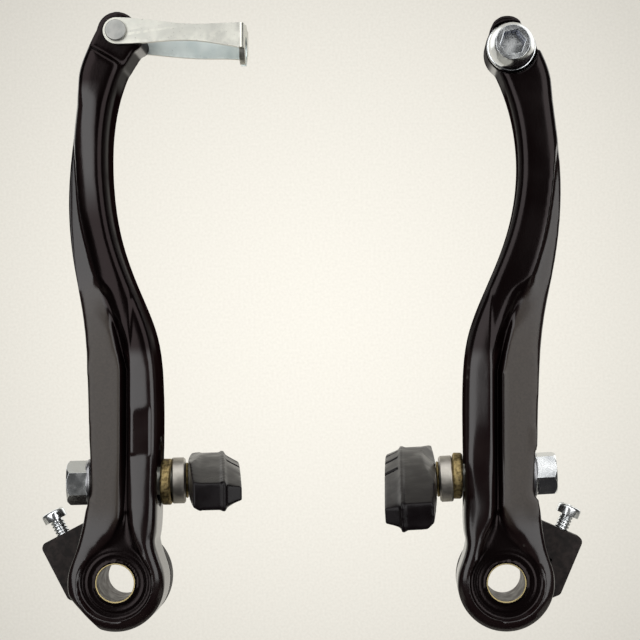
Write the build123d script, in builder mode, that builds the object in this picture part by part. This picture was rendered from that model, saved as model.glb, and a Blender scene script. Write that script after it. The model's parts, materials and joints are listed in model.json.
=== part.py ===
from build123d import *
import math
import os

# A linear-pull rim brake for one wheel: a left and a right arm on their pivot sleeves.
# Frame: +Z up along the arms, -Y towards the front, +X to the right. The origin lies midway
# between the two pivot axes, in the plane of the frame bosses' shoulders (y = 0).
# Every piece is drawn on the right-hand side, in the pivot's own frame, with +X pointing
# outwards and the pivot axis at x = 0, and is then seated on its side of the wheel.

# Pivots and sleeves
PIVOT_SPACING = 84.6
BOSS_PIN_DIAMETER = 8.0
PIN_CLEARANCE = 0.025
SLEEVE_WALL = 0.25
SLEEVE_LENGTH = 17.0
SLEEVE_FLANGE_RADIUS = 6.2
SLEEVE_FLANGE_THICKNESS = 0.8
RUNNING_CLEARANCE = 0.04

# Depths, measured forwards from the frame bosses' shoulders
ARM_FRONT = 18.5
ARM_BACK = 5.0
COVER_FRONT = 4.7
COVER_BACK = 0.3

# Arm casting
BOSS_RADIUS = 10.6
BOSS_FLAT = 1.2
BOSS_FLAT_ANGLE = -44.0
FRONT_ROUND = 2.0
BACK_ROUND = 1.0
RECESS_RADIUS = 8.0
RECESS_DEPTH = 2.4
LAND_RADIUS = 6.7
LAND_HEIGHT = 0.5
GROOVE_X = {"left": -2.15, "right": -1.8}
GROOVE_START = 12.0
GROOVE_BEND = 46.0
GROOVE_WIDTH = 1.8
GROOVE_DEPTH = 2.0
FACET_X = {"left": -1.3, "right": -0.8}
FACET_DROP = 0.8
FACET_TILT = 8.0
TEARDROP_TOP = 15.5
TEARDROP_WAIST_Z = 9.9
TEARDROP_WAIST = {"left": (-4.0, 1.1), "right": (-4.7, 2.2)}
TEARDROP_LEAVES = {"outer": 42.0, "inner": 145.0}
CAVITY_INNER_RADIUS = 5.6
CAVITY_OUTER_RADIUS = 8.7
CAVITY_DEPTH = 6.2

# Brake pad stud, its slot in the arm and its seats
STUD_X = -1.2
STUD_DEPTH = 11.4
STUD_HEIGHT = {"left": 21.6, "right": 22.9}
PAD_TILT = {"left": (0.4, 1.0, -6.0), "right": (8.0, -3.2, 0.0)}
STUD_DIAMETER = 6.0
STUD_SHY = 0.4
STUD_SLOT_WIDTH = 8.2
STUD_SLOT_TRAVEL = 6.5
STUD_SLOT_CENTRE = 23.8
INNER_SEAT = 8.2
OUTER_SEAT = 6.9
SEAT_RADIUS = 5.6
WASHER_RADIUS = 5.05
GOLD_THICKNESS = 2.0
CUP_THICKNESS = 3.1
WASHER_EDGE = 0.4
INNER_WASHER_RADIUS = 3.9
PAD_BACK = 13.9
SLOT_PASSAGE = 4.3
OUTER_WASHER_RADIUS = 5.0
OUTER_WASHER_THICKNESS = 0.9
NUT_ACROSS_FLATS = 8.4
NUT_THICKNESS = 4.6
NUT_CHAMFER = 0.7
NUT_TURN = {"left": 30.0, "right": 0.0}
SEAT_CLEARANCE = 0.02
THREAD_CLEARANCE = 0.03

# Brake pad block, its outline about the stud
PAD_LENGTH = 60.0
PAD_TOP = 5.85
PAD_TOP_END = 1.1
PAD_BOTTOM = 4.75
PAD_BOTTOM_END = 4.4
PAD_CORNER = 0.8
PAD_BACK_THICKNESS = 7.1
PAD_END_THICKNESS = 6.0
PAD_FRONT_THICKNESS = 4.0
PAD_BACK_BEVEL = 3.0
PAD_FRONT_TAPER = 14.0
RIDGE_WIDTH = 0.8
RIDGE_PROUD = 0.35
SLOT_WIDTH = 1.7
SLOT_DEPTH = 3.0
SLOT_SPACING = 10.0
SLOT_COUNT = 3
PLATE_LENGTH = 30.0
PLATE_HEIGHT = 7.0
PLATE_THICKNESS = 1.4
PLATE_COVER = 2.6

# Spring cover, its ear and the tension screw
COVER_RADIUS = 10.5
EAR_ROOT = (2.0, 7.0)
EAR_INNER = 5.06
EAR_OUTER = 5.39
EAR_LOWER_CORNER = (12.6, -4.3)
EAR_FOOT = (8.0, -6.0)
EAR_ROUND = 1.4
COVER_TURN = {"left": 3.0, "right": -1.5}
SCREW_LEAN = 24.6
SCREW_ENTRY_X = 13.3
SCREW_ENTRY_Z = 10.2
SCREW_DEPTH = 2.25
SCREW_DIAMETER = 3.3
SCREW_STANDOFF = 3.4
SCREW_LENGTH = 10.4
SCREW_HEAD_DIAMETER = 5.4
SCREW_HEAD_HEIGHT = 2.2
SCREW_SLOT_WIDTH = 0.8
SCREW_TRAVEL = 2.5
SCREW_TIP_CLEARANCE = 0.3
PIN_RADIUS = 1.25
PIN_LENGTH = 4.2
PIN_SPIGOT_RADIUS = 1.05
PIN_SEAT = 2.0
PIN_PLACE = 8.4

# Return spring
SPRING_WIRE = 1.2
SPRING_RADIUS = 7.1
SPRING_PITCH = 1.45
SPRING_TURNS = 4.25
SPRING_START_ANGLE = 64.6
SPRING_START_DEPTH = 3.3
SPRING_LEG = 8.2
SPRING_CLEARANCE = 0.25

# Left head: folded bracket and its rivet
LINK_PIVOT_X = -0.1
LINK_PIVOT_Z = 119.5
LUG_RADIUS = 4.4
LUG_FRONT = 17.1
LUG_BACK = 6.1
LINK_SIDE_GAP = 0.1
LINK_SHEET = 1.2
LINK_EYE_RADIUS = 2.85
LINK_LENGTH = 27.6
LINK_WAIST_X = 17.0
LINK_WAIST_TOP = 1.45
LINK_WAIST_BOTTOM = 2.1
LINK_TOP = 1.8
LINK_END_HEIGHT = 5.3
LINK_BACK_WAIST_DROP = 1.9
LINK_BACK_END_DROP = 0.8
LOBE_DROP = 8.4
LOBE_WIDTH = 9.0
FOLD_ROUND = 1.0
KEYHOLE_DEPTH = 4.5
KEYHOLE_RADIUS = 2.6
KEYHOLE_SLOT = 2.2
RIVET_RADIUS = 1.7
RIVET_HEAD_RADIUS = 2.3
RIVET_HEAD_HEIGHT = 0.9

# Right head: cable anchor
ANCHOR_X = 1.1
ANCHOR_Z = 116.2
ANCHOR_LUG_RADIUS = 5.6
ANCHOR_SEAT_DEPTH = 2.4
ANCHOR_SEAT_RADIUS = 5.75
TAB_X = 0.3
TAB_RADIUS = 3.9
TAB_RISE = 3.0
ANCHOR_WASHER_RADIUS = 5.35
ANCHOR_WASHER_THICKNESS = 1.3
ANCHOR_THREAD_DIAMETER = 6.0
ANCHOR_FLANGE_RADIUS = 5.05
ANCHOR_HEAD_TOP_RADIUS = 3.7
ANCHOR_HEAD_HEIGHT = 6.2
ANCHOR_DOME = 0.35
FLANGE_EDGE = 0.9
KEY_TURN = 10.0
ANCHOR_KEY = 5.0
ANCHOR_KEY_DEPTH = 3.0
ANCHOR_BOLT_LENGTH = 9.0
CABLE_RADIUS = 0.85
CABLE_OFFSET = 4.1

os.makedirs("parts", exist_ok=True)

BORE_RADIUS = BOSS_PIN_DIAMETER / 2 + PIN_CLEARANCE
SLEEVE_RADIUS = BORE_RADIUS + SLEEVE_WALL
ARM_BORE_RADIUS = SLEEVE_RADIUS + RUNNING_CLEARANCE
SCREW_HOLE_RADIUS = SCREW_DIAMETER / 2 + RUNNING_CLEARANCE
SCREW_HOLE_LENGTH = SCREW_LENGTH - SCREW_STANDOFF + SCREW_TRAVEL + SCREW_TIP_CLEARANCE
STUD_HOLE = STUD_DIAMETER / 2 + THREAD_CLEARANCE
ANCHOR_FACE = ARM_FRONT - ANCHOR_SEAT_DEPTH


def front_plane(depth):
    """Plane facing the front, a given distance ahead of the frame bosses' shoulders."""
    return Plane.XZ.offset(depth)


def on_circle(radius, degrees):
    """Point on a circle about the pivot axis."""
    return (radius * math.cos(math.radians(degrees)), radius * math.sin(math.radians(degrees)))


def circle_heading(degrees):
    """Direction along that circle, anticlockwise."""
    return (-math.sin(math.radians(degrees)), math.cos(math.radians(degrees)))


def keep(piece, name):
    """Name a finished piece and write it."""
    piece.part.label = name
    export_step(piece.part, f"parts/{name}.step")


def seat(piece, side, turn=0.0):
    """Move a piece from the pivot's own frame to its side of the wheel, turned about the pivot."""
    with BuildPart() as seated:
        with Locations(Location((PIVOT_SPACING / 2, 0, 0), (0, turn, 0))):
            add(piece.part)
        if side == "left":
            mirror(about=Plane.YZ, mode=Mode.REPLACE)
    return seated


# Pivot sleeve: a thin rolled bush with a flange against the frame boss
def make_sleeve():
    with BuildPart() as sleeve:
        with BuildSketch(front_plane(0)):
            Circle(SLEEVE_RADIUS)
        extrude(amount=SLEEVE_LENGTH)
        with BuildSketch(front_plane(0)):
            Circle(SLEEVE_FLANGE_RADIUS)
        extrude(amount=SLEEVE_FLANGE_THICKNESS)
        with BuildSketch(front_plane(0)):
            Circle(BORE_RADIUS)
        extrude(amount=SLEEVE_LENGTH, mode=Mode.SUBTRACT)
        chamfer(sleeve.edges().filter_by(GeomType.CIRCLE).sort_by(Axis.Y)[:1], SLEEVE_WALL / 3)
    return sleeve


# Arm: the bar's two flowing edges run from the boss to the head. The head's own points are
# placed from what the head carries: the bracket's rivet on the left, the cable bolt on the right.
HEAD_PIVOT_Z = {"left": LINK_PIVOT_Z, "right": ANCHOR_Z}
OUTER_EDGE = {
    "left": [
        (6.9, 14.5), (5.9, 27.0), (6.2, 42.5), (7.45, 58.1),
        (9.35, 68.5), (10.5, 79.0), (10.25, 90.0),
    ],
    "right": [
        (7.6, 14.5), (6.85, 27.0), (7.1, 42.5), (8.4, 58.1),
        (10.4, 68.5), (11.75, 79.0), (11.85, 90.0),
    ],
}
INNER_EDGE = {
    "left": [
        (-8.6, 10.0), (-9.05, 20.0), (-9.1, 42.4), (-7.8, 53.1),
        (-3.7, 63.8), (0.1, 74.5), (2.1, 88.0),
    ],
    "right": [
        (-8.9, 10.0), (-9.15, 20.0), (-9.2, 42.4), (-8.1, 53.1),
        (-4.2, 63.8), (0.1, 74.5), (2.7, 88.0),
    ],
}
HEAD_OUTER = {"left": [(8.4, -12.0), (4.6, 0.0)], "right": [(10.0, -9.5), (7.4, -0.4)]}
HEAD_INNER = {"left": [(0.2, -12.0), (-2.9, -4.5)], "right": [(-0.2, -8.7), (-3.6, -1.2)]}
FACET_EDGE = {
    "left": [(-1.3, 15.0), (-1.3, 46.0), (1.5, 57.8), (4.9, 67.2), (8.2, 80.8), (9.5, 95.0)],
    "right": [(-0.8, 15.0), (-0.8, 46.0), (1.9, 57.8), (6.0, 67.2), (9.5, 80.8), (11.0, 95.0)],
}
GROOVE_END = {"left": [(0.35, 56.8), (3.0, 63.2)], "right": [(0.55, 56.8), (3.6, 63.2)]}
OUTER_START = 22.0
INNER_START = 160.0
BAR_HEADING = (-0.45, 0.9)

# Left head's lug and the slanted step below it, placed from the rivet
HEAD_STEP = [(-12.0, -13.9), (12.0, 0.5)]
NOSE = (-3.5, -1.9)
NOSE_RADIUS = 2.2
LUG_ROOT = [(3.9, 1.5), (5.5, -2.5), (-1.5, -8.0), (-4.0, -4.0), (-3.8, 1.5)]


def from_height(points, height):
    """Points that were given from a height, as points from the pivot axis."""
    return [(x, height + rise) for x, rise in points]


def make_bar(side):
    """The arm's boss and bar at full thickness, with its long edges rounded."""
    outer_heading = circle_heading(OUTER_START)
    inner_back = circle_heading(INNER_START)
    outer_edge = OUTER_EDGE[side] + from_height(HEAD_OUTER[side], HEAD_PIVOT_Z[side])
    inner_edge = INNER_EDGE[side] + from_height(HEAD_INNER[side], HEAD_PIVOT_Z[side])
    with BuildPart() as bar:
        with BuildSketch(front_plane(ARM_BACK)):
            with BuildLine():
                Spline(
                    [on_circle(BOSS_RADIUS, OUTER_START)] + outer_edge,
                    tangents=[outer_heading, BAR_HEADING],
                )
                Line(outer_edge[-1], inner_edge[-1])
                Spline(
                    inner_edge[::-1] + [on_circle(BOSS_RADIUS, INNER_START)],
                    tangents=[(-BAR_HEADING[0], -BAR_HEADING[1]), inner_back],
                )
                ThreePointArc(
                    on_circle(BOSS_RADIUS, INNER_START),
                    (0, -BOSS_RADIUS),
                    on_circle(BOSS_RADIUS, OUTER_START),
                )
            make_face()
        extrude(amount=ARM_FRONT - ARM_BACK)
        front_edges = bar.faces().sort_by(Axis.Y)[0].edges().sort_by(Axis.Z)[:-1]
        fillet(front_edges, FRONT_ROUND)
        back_edges = bar.faces().sort_by(Axis.Y)[-1].edges().sort_by(Axis.Z)[:-1]
        fillet(back_edges, BACK_ROUND)
    return bar


def make_facet_cutter(side):
    """What is cut away ahead of the outer rib's flat, tilted face."""
    far = 2 * BOSS_RADIUS
    edge = FACET_EDGE[side]
    tilt = math.radians(FACET_TILT)
    facet = Plane(
        origin=(FACET_X[side], FACET_DROP - ARM_FRONT, 0),
        x_dir=(math.cos(tilt), math.sin(tilt), 0),
        z_dir=(math.sin(tilt), -math.cos(tilt), 0),
    )
    with BuildPart() as cutter:
        with BuildSketch(front_plane(ARM_BACK)):
            with BuildLine():
                Line((edge[0][0], -far), edge[0])
                Line(edge[0], edge[1])
                Spline(edge[1:], tangents=[(0, 1), (0.1, 1)])
                Polyline(edge[-1], (far, edge[-1][1]), (far, -far), (edge[0][0], -far))
            make_face()
        extrude(amount=ARM_FRONT)
        split(bisect_by=facet, keep=Keep.TOP)
    return cutter


def make_arm(side):
    """A cast arm: boss with a teardrop recess, two ribs with a groove between them, and its head."""
    bar = make_bar(side)
    facet_cutter = make_facet_cutter(side)
    groove_x = GROOVE_X[side]
    groove_outer = (groove_x + GROOVE_WIDTH / 2, TEARDROP_TOP)
    groove_inner = (groove_x - GROOVE_WIDTH / 2, TEARDROP_TOP)
    waist_inner, waist_outer = TEARDROP_WAIST[side]
    leaves_outer = on_circle(RECESS_RADIUS, TEARDROP_LEAVES["outer"])
    leaves_inner = on_circle(RECESS_RADIUS, TEARDROP_LEAVES["inner"])
    with BuildPart() as arm:
        add(bar.part)
        add(facet_cutter.part, mode=Mode.SUBTRACT)
        # teardrop recess
        with BuildSketch(front_plane(ARM_FRONT)):
            Circle(RECESS_RADIUS)
            with BuildLine():
                Spline(
                    [leaves_outer, (waist_outer, TEARDROP_WAIST_Z), groove_outer],
                    tangents=[circle_heading(TEARDROP_LEAVES["outer"]), (0, 1)],
                )
                Line(groove_outer, groove_inner)
                Spline(
                    [groove_inner, (waist_inner, TEARDROP_WAIST_Z), leaves_inner],
                    tangents=[(0, -1), circle_heading(TEARDROP_LEAVES["inner"])],
                )
                Line(leaves_inner, leaves_outer)
            make_face()
        extrude(amount=-RECESS_DEPTH, mode=Mode.SUBTRACT)
        # groove between the ribs
        with BuildSketch(front_plane(ARM_FRONT)):
            with BuildLine():
                Line((groove_x, GROOVE_START), (groove_x, GROOVE_BEND))
                Spline([(groove_x, GROOVE_BEND)] + GROOVE_END[side], tangents=[(0, 1), (0.4, 0.9)])
            trace(line_width=GROOVE_WIDTH)
        extrude(amount=-GROOVE_DEPTH, mode=Mode.SUBTRACT)
        # land round the bore
        with BuildSketch(front_plane(ARM_FRONT - RECESS_DEPTH)):
            Circle(LAND_RADIUS)
        extrude(amount=LAND_HEIGHT, taper=40)
        # pad stud slot and its seats
        with BuildSketch(Plane.YZ.offset(STUD_X)):
            with Locations((-STUD_DEPTH, STUD_SLOT_CENTRE)):
                SlotCenterToCenter(STUD_SLOT_TRAVEL, STUD_SLOT_WIDTH, rotation=90)
        extrude(amount=2 * BOSS_RADIUS, both=True, mode=Mode.SUBTRACT)
        for outwards, seat_distance in ((-1, INNER_SEAT), (1, OUTER_SEAT)):
            with BuildSketch(Plane.YZ.offset(STUD_X + outwards * seat_distance)):
                with Locations((-STUD_DEPTH, STUD_SLOT_CENTRE)):
                    SlotCenterToCenter(STUD_SLOT_TRAVEL, 2 * SEAT_RADIUS, rotation=90)
            extrude(amount=outwards * BOSS_RADIUS, mode=Mode.SUBTRACT)
        # bore and the spring's cavity in the back
        with BuildSketch(front_plane(0)):
            Circle(ARM_BORE_RADIUS)
        extrude(amount=ARM_FRONT, mode=Mode.SUBTRACT)
        with BuildSketch(front_plane(0)):
            Circle(CAVITY_OUTER_RADIUS)
            Circle(CAVITY_INNER_RADIUS, mode=Mode.SUBTRACT)
        extrude(amount=ARM_BACK + CAVITY_DEPTH, mode=Mode.SUBTRACT)
        if side == "left":
            # a thinner lug that the bracket's two legs straddle, below a slanted step
            low, high = from_height(HEAD_STEP, LINK_PIVOT_Z)
            beyond = LINK_PIVOT_Z + 2 * LUG_RADIUS
            for near, far in ((LUG_FRONT, ARM_FRONT + 1), (ARM_BACK - 1, LUG_BACK)):
                with BuildSketch(front_plane(near)):
                    with BuildLine():
                        Polyline(low, high, (high[0], beyond), (low[0], beyond), close=True)
                    make_face()
                extrude(amount=far - near, mode=Mode.SUBTRACT)
            with BuildSketch(front_plane(LUG_BACK)):
                with Locations((LINK_PIVOT_X, LINK_PIVOT_Z)):
                    Circle(LUG_RADIUS)
                with Locations(from_height([NOSE], LINK_PIVOT_Z)):
                    Circle(NOSE_RADIUS)
                with BuildLine():
                    Polyline(from_height(LUG_ROOT, LINK_PIVOT_Z), close=True)
                make_face()
            extrude(amount=LUG_FRONT - LUG_BACK)
            with BuildSketch(front_plane(0)):
                with Locations((LINK_PIVOT_X, LINK_PIVOT_Z)):
                    Circle(RIVET_RADIUS + RUNNING_CLEARANCE)
            extrude(amount=ARM_FRONT, mode=Mode.SUBTRACT)
            # a flat on the lower outer side of the boss
            flat_middle = (*on_circle(BOSS_RADIUS - BOSS_FLAT, BOSS_FLAT_ANGLE), 0)
            with BuildSketch(front_plane(0)):
                with Locations(Location(flat_middle, (0, 0, BOSS_FLAT_ANGLE))):
                    Rectangle(BOSS_RADIUS, 2 * BOSS_RADIUS, align=(Align.MIN, Align.CENTER))
            extrude(amount=ARM_FRONT, mode=Mode.SUBTRACT)
        else:
            # a round lug with a seat for the cable washer and a tab above it
            with BuildSketch(front_plane(ARM_BACK + BACK_ROUND)):
                with Locations((ANCHOR_X, ANCHOR_Z)):
                    Circle(ANCHOR_LUG_RADIUS)
                with Locations((TAB_X, ANCHOR_Z + TAB_RISE)):
                    Circle(TAB_RADIUS)
            extrude(amount=ARM_FRONT - FRONT_ROUND - ARM_BACK)
            with BuildSketch(front_plane(ANCHOR_FACE)):
                with Locations((ANCHOR_X, ANCHOR_Z)):
                    Circle(ANCHOR_SEAT_RADIUS)
            extrude(amount=ANCHOR_SEAT_DEPTH + 1, mode=Mode.SUBTRACT)
            with BuildSketch(Plane.YZ.offset(ANCHOR_X)):
                with Locations((-ANCHOR_FACE, ANCHOR_Z + CABLE_OFFSET)):
                    Circle(CABLE_RADIUS)
            extrude(amount=2 * ANCHOR_LUG_RADIUS, both=True, mode=Mode.SUBTRACT)
            with BuildSketch(front_plane(0)):
                with Locations((ANCHOR_X, ANCHOR_Z)):
                    Circle(ANCHOR_THREAD_DIAMETER / 2 + THREAD_CLEARANCE)
            extrude(amount=ARM_FRONT, mode=Mode.SUBTRACT)
    return arm


# Spring cover: a disc behind the boss with a triangular ear for the tension screw
def screw_plane():
    """Plane at the ear's top edge, with its normal up along the tension screw."""
    lean = math.radians(SCREW_LEAN)
    return Plane(
        origin=(SCREW_ENTRY_X, -SCREW_DEPTH, SCREW_ENTRY_Z),
        x_dir=(math.cos(lean), 0, -math.sin(lean)),
        z_dir=(math.sin(lean), 0, math.cos(lean)),
    )


def on_ear_edge(distance):
    """Point on the ear's top edge, a distance outwards from the tension screw."""
    lean = math.radians(SCREW_LEAN)
    return (
        SCREW_ENTRY_X + distance * math.cos(lean),
        SCREW_ENTRY_Z - distance * math.sin(lean),
    )


def make_cover():
    channel_side = SPRING_WIRE / 2 + SPRING_CLEARANCE
    channel_floor = SPRING_START_DEPTH - channel_side
    with BuildPart() as cover:
        with BuildSketch(front_plane(COVER_BACK)) as face:
            with BuildLine():
                Polyline(
                    EAR_ROOT, on_ear_edge(-EAR_INNER), on_ear_edge(EAR_OUTER), EAR_LOWER_CORNER, EAR_FOOT,
                    close=True,
                )
            make_face()
            fillet(face.vertices().sort_by(Axis.X)[-2:], EAR_ROUND)
            Circle(COVER_RADIUS)
        extrude(amount=COVER_FRONT - COVER_BACK)
        # bore, and the seat of the sleeve's flange
        with BuildSketch(front_plane(0)):
            Circle(SLEEVE_RADIUS)
        extrude(amount=COVER_FRONT, mode=Mode.SUBTRACT)
        with BuildSketch(front_plane(0)):
            Circle(SLEEVE_FLANGE_RADIUS)
        extrude(amount=SLEEVE_FLANGE_THICKNESS, mode=Mode.SUBTRACT)
        # channel for the spring's first turn and its leg
        with BuildSketch(front_plane(channel_floor)):
            Circle(SPRING_RADIUS + channel_side)
            Circle(SPRING_RADIUS - channel_side, mode=Mode.SUBTRACT)
            leg_start = (*on_circle(SPRING_RADIUS, SPRING_START_ANGLE), 0)
            with Locations(Location(leg_start, (0, 0, SPRING_START_ANGLE - 90))):
                Rectangle(
                    SPRING_LEG + SPRING_CLEARANCE, 2 * channel_side, align=(Align.MIN, Align.CENTER)
                )
        extrude(amount=COVER_FRONT, mode=Mode.SUBTRACT)
        # hole for the tension screw
        with BuildSketch(screw_plane()):
            Circle(SCREW_HOLE_RADIUS)
        extrude(amount=-SCREW_HOLE_LENGTH, mode=Mode.SUBTRACT)
        # seat of the locating pin
        with BuildSketch(front_plane(0)):
            with Locations((0, PIN_PLACE)):
                Circle(PIN_SPIGOT_RADIUS)
        extrude(amount=PIN_SEAT, mode=Mode.SUBTRACT)
    return cover


def make_locating_pin():
    with BuildPart() as pin:
        with BuildSketch(front_plane(0)):
            with Locations((0, PIN_PLACE)):
                Circle(PIN_SPIGOT_RADIUS)
        extrude(amount=PIN_SEAT)
        with BuildSketch(front_plane(0)):
            with Locations((0, PIN_PLACE)):
                Circle(PIN_RADIUS)
        extrude(amount=-PIN_LENGTH)
        chamfer(pin.edges().filter_by(GeomType.CIRCLE).sort_by(Axis.Y)[-1:], PIN_RADIUS / 4)
    return pin


def make_tension_screw():
    shoulder = screw_plane().offset(SCREW_STANDOFF)
    with BuildPart() as screw:
        with BuildSketch(shoulder):
            Circle(SCREW_DIAMETER / 2)
        extrude(amount=-SCREW_LENGTH)
        chamfer(screw.edges().filter_by(GeomType.CIRCLE).sort_by(Axis.Z)[:1], SCREW_DIAMETER / 8)
        with BuildSketch(shoulder):
            Circle(SCREW_HEAD_DIAMETER / 2)
        extrude(amount=SCREW_HEAD_HEIGHT)
        fillet(screw.edges().filter_by(GeomType.CIRCLE).sort_by(Axis.Z)[-1:], SCREW_HEAD_HEIGHT / 3)
        with BuildSketch(shoulder.offset(SCREW_HEAD_HEIGHT)):
            for turn in (0, 90):
                Rectangle(0.7 * SCREW_HEAD_DIAMETER, SCREW_SLOT_WIDTH, rotation=turn)
        extrude(amount=-SCREW_HEAD_HEIGHT / 2, mode=Mode.SUBTRACT)
    return screw


# Return spring: coiled in the cavity, with a straight leg under the tension screw's tip
def make_return_spring():
    heading = on_circle(1, SPRING_START_ANGLE)
    coil_plane = Plane(
        origin=(0, -SPRING_START_DEPTH, 0), x_dir=(heading[0], 0, heading[1]), z_dir=(0, -1, 0)
    )
    rise = SPRING_PITCH / (2 * math.pi * SPRING_RADIUS)
    wire_end = Plane(origin=(SPRING_RADIUS, 0, 0), z_dir=(0, 1, rise))
    with BuildPart() as coil:
        with BuildLine() as path:
            Helix(SPRING_PITCH, SPRING_PITCH * SPRING_TURNS, SPRING_RADIUS)
        with BuildSketch(wire_end):
            Circle(SPRING_WIRE / 2)
        sweep(path=path.wire(), is_frenet=True)
        with BuildSketch(wire_end):
            Circle(SPRING_WIRE / 2)
        extrude(amount=-SPRING_LEG)
    with BuildPart() as spring:
        with Locations(coil_plane.location):
            add(coil.part)
    return spring


# Pieces on the pad stud are drawn about the x axis, with its origin in the middle of the arm's
# slot. The domed washers on both sides of the arm share that origin as their centre, so the
# stud and its pad can tilt between them.
def ring(near, far, radius, hole, edge):
    """A washer blank along the x axis, with its outer corners broken."""
    with BuildPart() as blank:
        with BuildSketch(Plane.YZ.offset(near)):
            Circle(radius)
        extrude(amount=far - near)
        chamfer(blank.edges().filter_by(GeomType.CIRCLE), edge)
        with BuildSketch(Plane.YZ.offset(near)):
            Circle(hole)
        extrude(amount=far - near, mode=Mode.SUBTRACT)
    return blank


def domed_radius(rim, radius):
    """Radius of the dome, about the stud's middle, that meets a washer's rim."""
    return math.hypot(rim, radius)


def on_dome(dome, radius):
    """Point of a dome about the stud's middle, at a distance from the stud's axis."""
    return (math.sqrt(dome ** 2 - radius ** 2), radius)


def make_domed_washer(seat_distance, thickness, radius, edge):
    """A washer that sits flat on a seat of the arm, with a domed outer side."""
    dome = domed_radius(seat_distance + thickness, radius)
    with BuildPart() as washer:
        with BuildSketch(Plane.XY):
            with BuildLine():
                Polyline(
                    on_dome(dome, SLOT_PASSAGE), (seat_distance, SLOT_PASSAGE),
                    (seat_distance, radius - edge), (seat_distance + edge, radius), on_dome(dome, radius),
                )
                ThreePointArc(
                    on_dome(dome, radius),
                    on_dome(dome, (radius + SLOT_PASSAGE) / 2),
                    on_dome(dome, SLOT_PASSAGE),
                )
            make_face()
        revolve(axis=Axis.X)
    return washer


def make_gold_washer():
    blank = make_domed_washer(INNER_SEAT, GOLD_THICKNESS, WASHER_RADIUS, WASHER_EDGE)
    with BuildPart() as washer:
        add(blank.part)
        mirror(about=Plane.YZ, mode=Mode.REPLACE)
    return washer


def make_cup_washer():
    dome = domed_radius(INNER_SEAT + GOLD_THICKNESS, WASHER_RADIUS)
    near = INNER_SEAT + GOLD_THICKNESS
    blank = ring(-near, -near - CUP_THICKNESS, WASHER_RADIUS, STUD_HOLE, WASHER_EDGE)
    with BuildPart() as washer:
        add(blank.part)
        Sphere(dome + SEAT_CLEARANCE, mode=Mode.SUBTRACT)
    return washer


def make_inner_washer():
    near = INNER_SEAT + GOLD_THICKNESS + CUP_THICKNESS
    return ring(-near, -PAD_BACK, INNER_WASHER_RADIUS, STUD_HOLE, WASHER_EDGE / 2)


def make_outer_washer():
    return make_domed_washer(OUTER_SEAT, OUTER_WASHER_THICKNESS, OUTER_WASHER_RADIUS, WASHER_EDGE / 2)


def make_pad_nut(side):
    """A hex nut with a dished inner face and a chamfered outer one."""
    dome = domed_radius(OUTER_SEAT + OUTER_WASHER_THICKNESS, OUTER_WASHER_RADIUS)
    near = OUTER_SEAT + OUTER_WASHER_THICKNESS
    far = near + NUT_THICKNESS
    corner = NUT_ACROSS_FLATS / math.sqrt(3)
    envelope = ring(near - NUT_CHAMFER, far, corner, STUD_HOLE, NUT_CHAMFER)
    with BuildPart() as nut:
        with BuildSketch(Plane.YZ.offset(near)):
            RegularPolygon(
                NUT_ACROSS_FLATS / 2, 6, major_radius=False, rotation=NUT_TURN[side]
            )
        extrude(amount=NUT_THICKNESS)
        add(envelope.part, mode=Mode.INTERSECT)
        Sphere(dome + SEAT_CLEARANCE, mode=Mode.SUBTRACT)
    return nut


def make_pad_stud():
    """A threaded stud with the flat plate that is moulded into the pad."""
    plate_face = PAD_BACK + PLATE_COVER
    outer_end = OUTER_SEAT + OUTER_WASHER_THICKNESS + NUT_THICKNESS - STUD_SHY
    with BuildPart() as stud:
        with BuildSketch(Plane.YZ.offset(-plate_face)):
            Circle(STUD_DIAMETER / 2)
        extrude(amount=plate_face + outer_end)
        chamfer(stud.edges().filter_by(GeomType.CIRCLE).sort_by(Axis.X)[-1:], STUD_DIAMETER / 12)
        with BuildSketch(Plane.YZ.offset(-plate_face)):
            RectangleRounded(PLATE_LENGTH, PLATE_HEIGHT, PLATE_HEIGHT / 3)
        extrude(amount=-PLATE_THICKNESS)
    return stud


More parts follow.
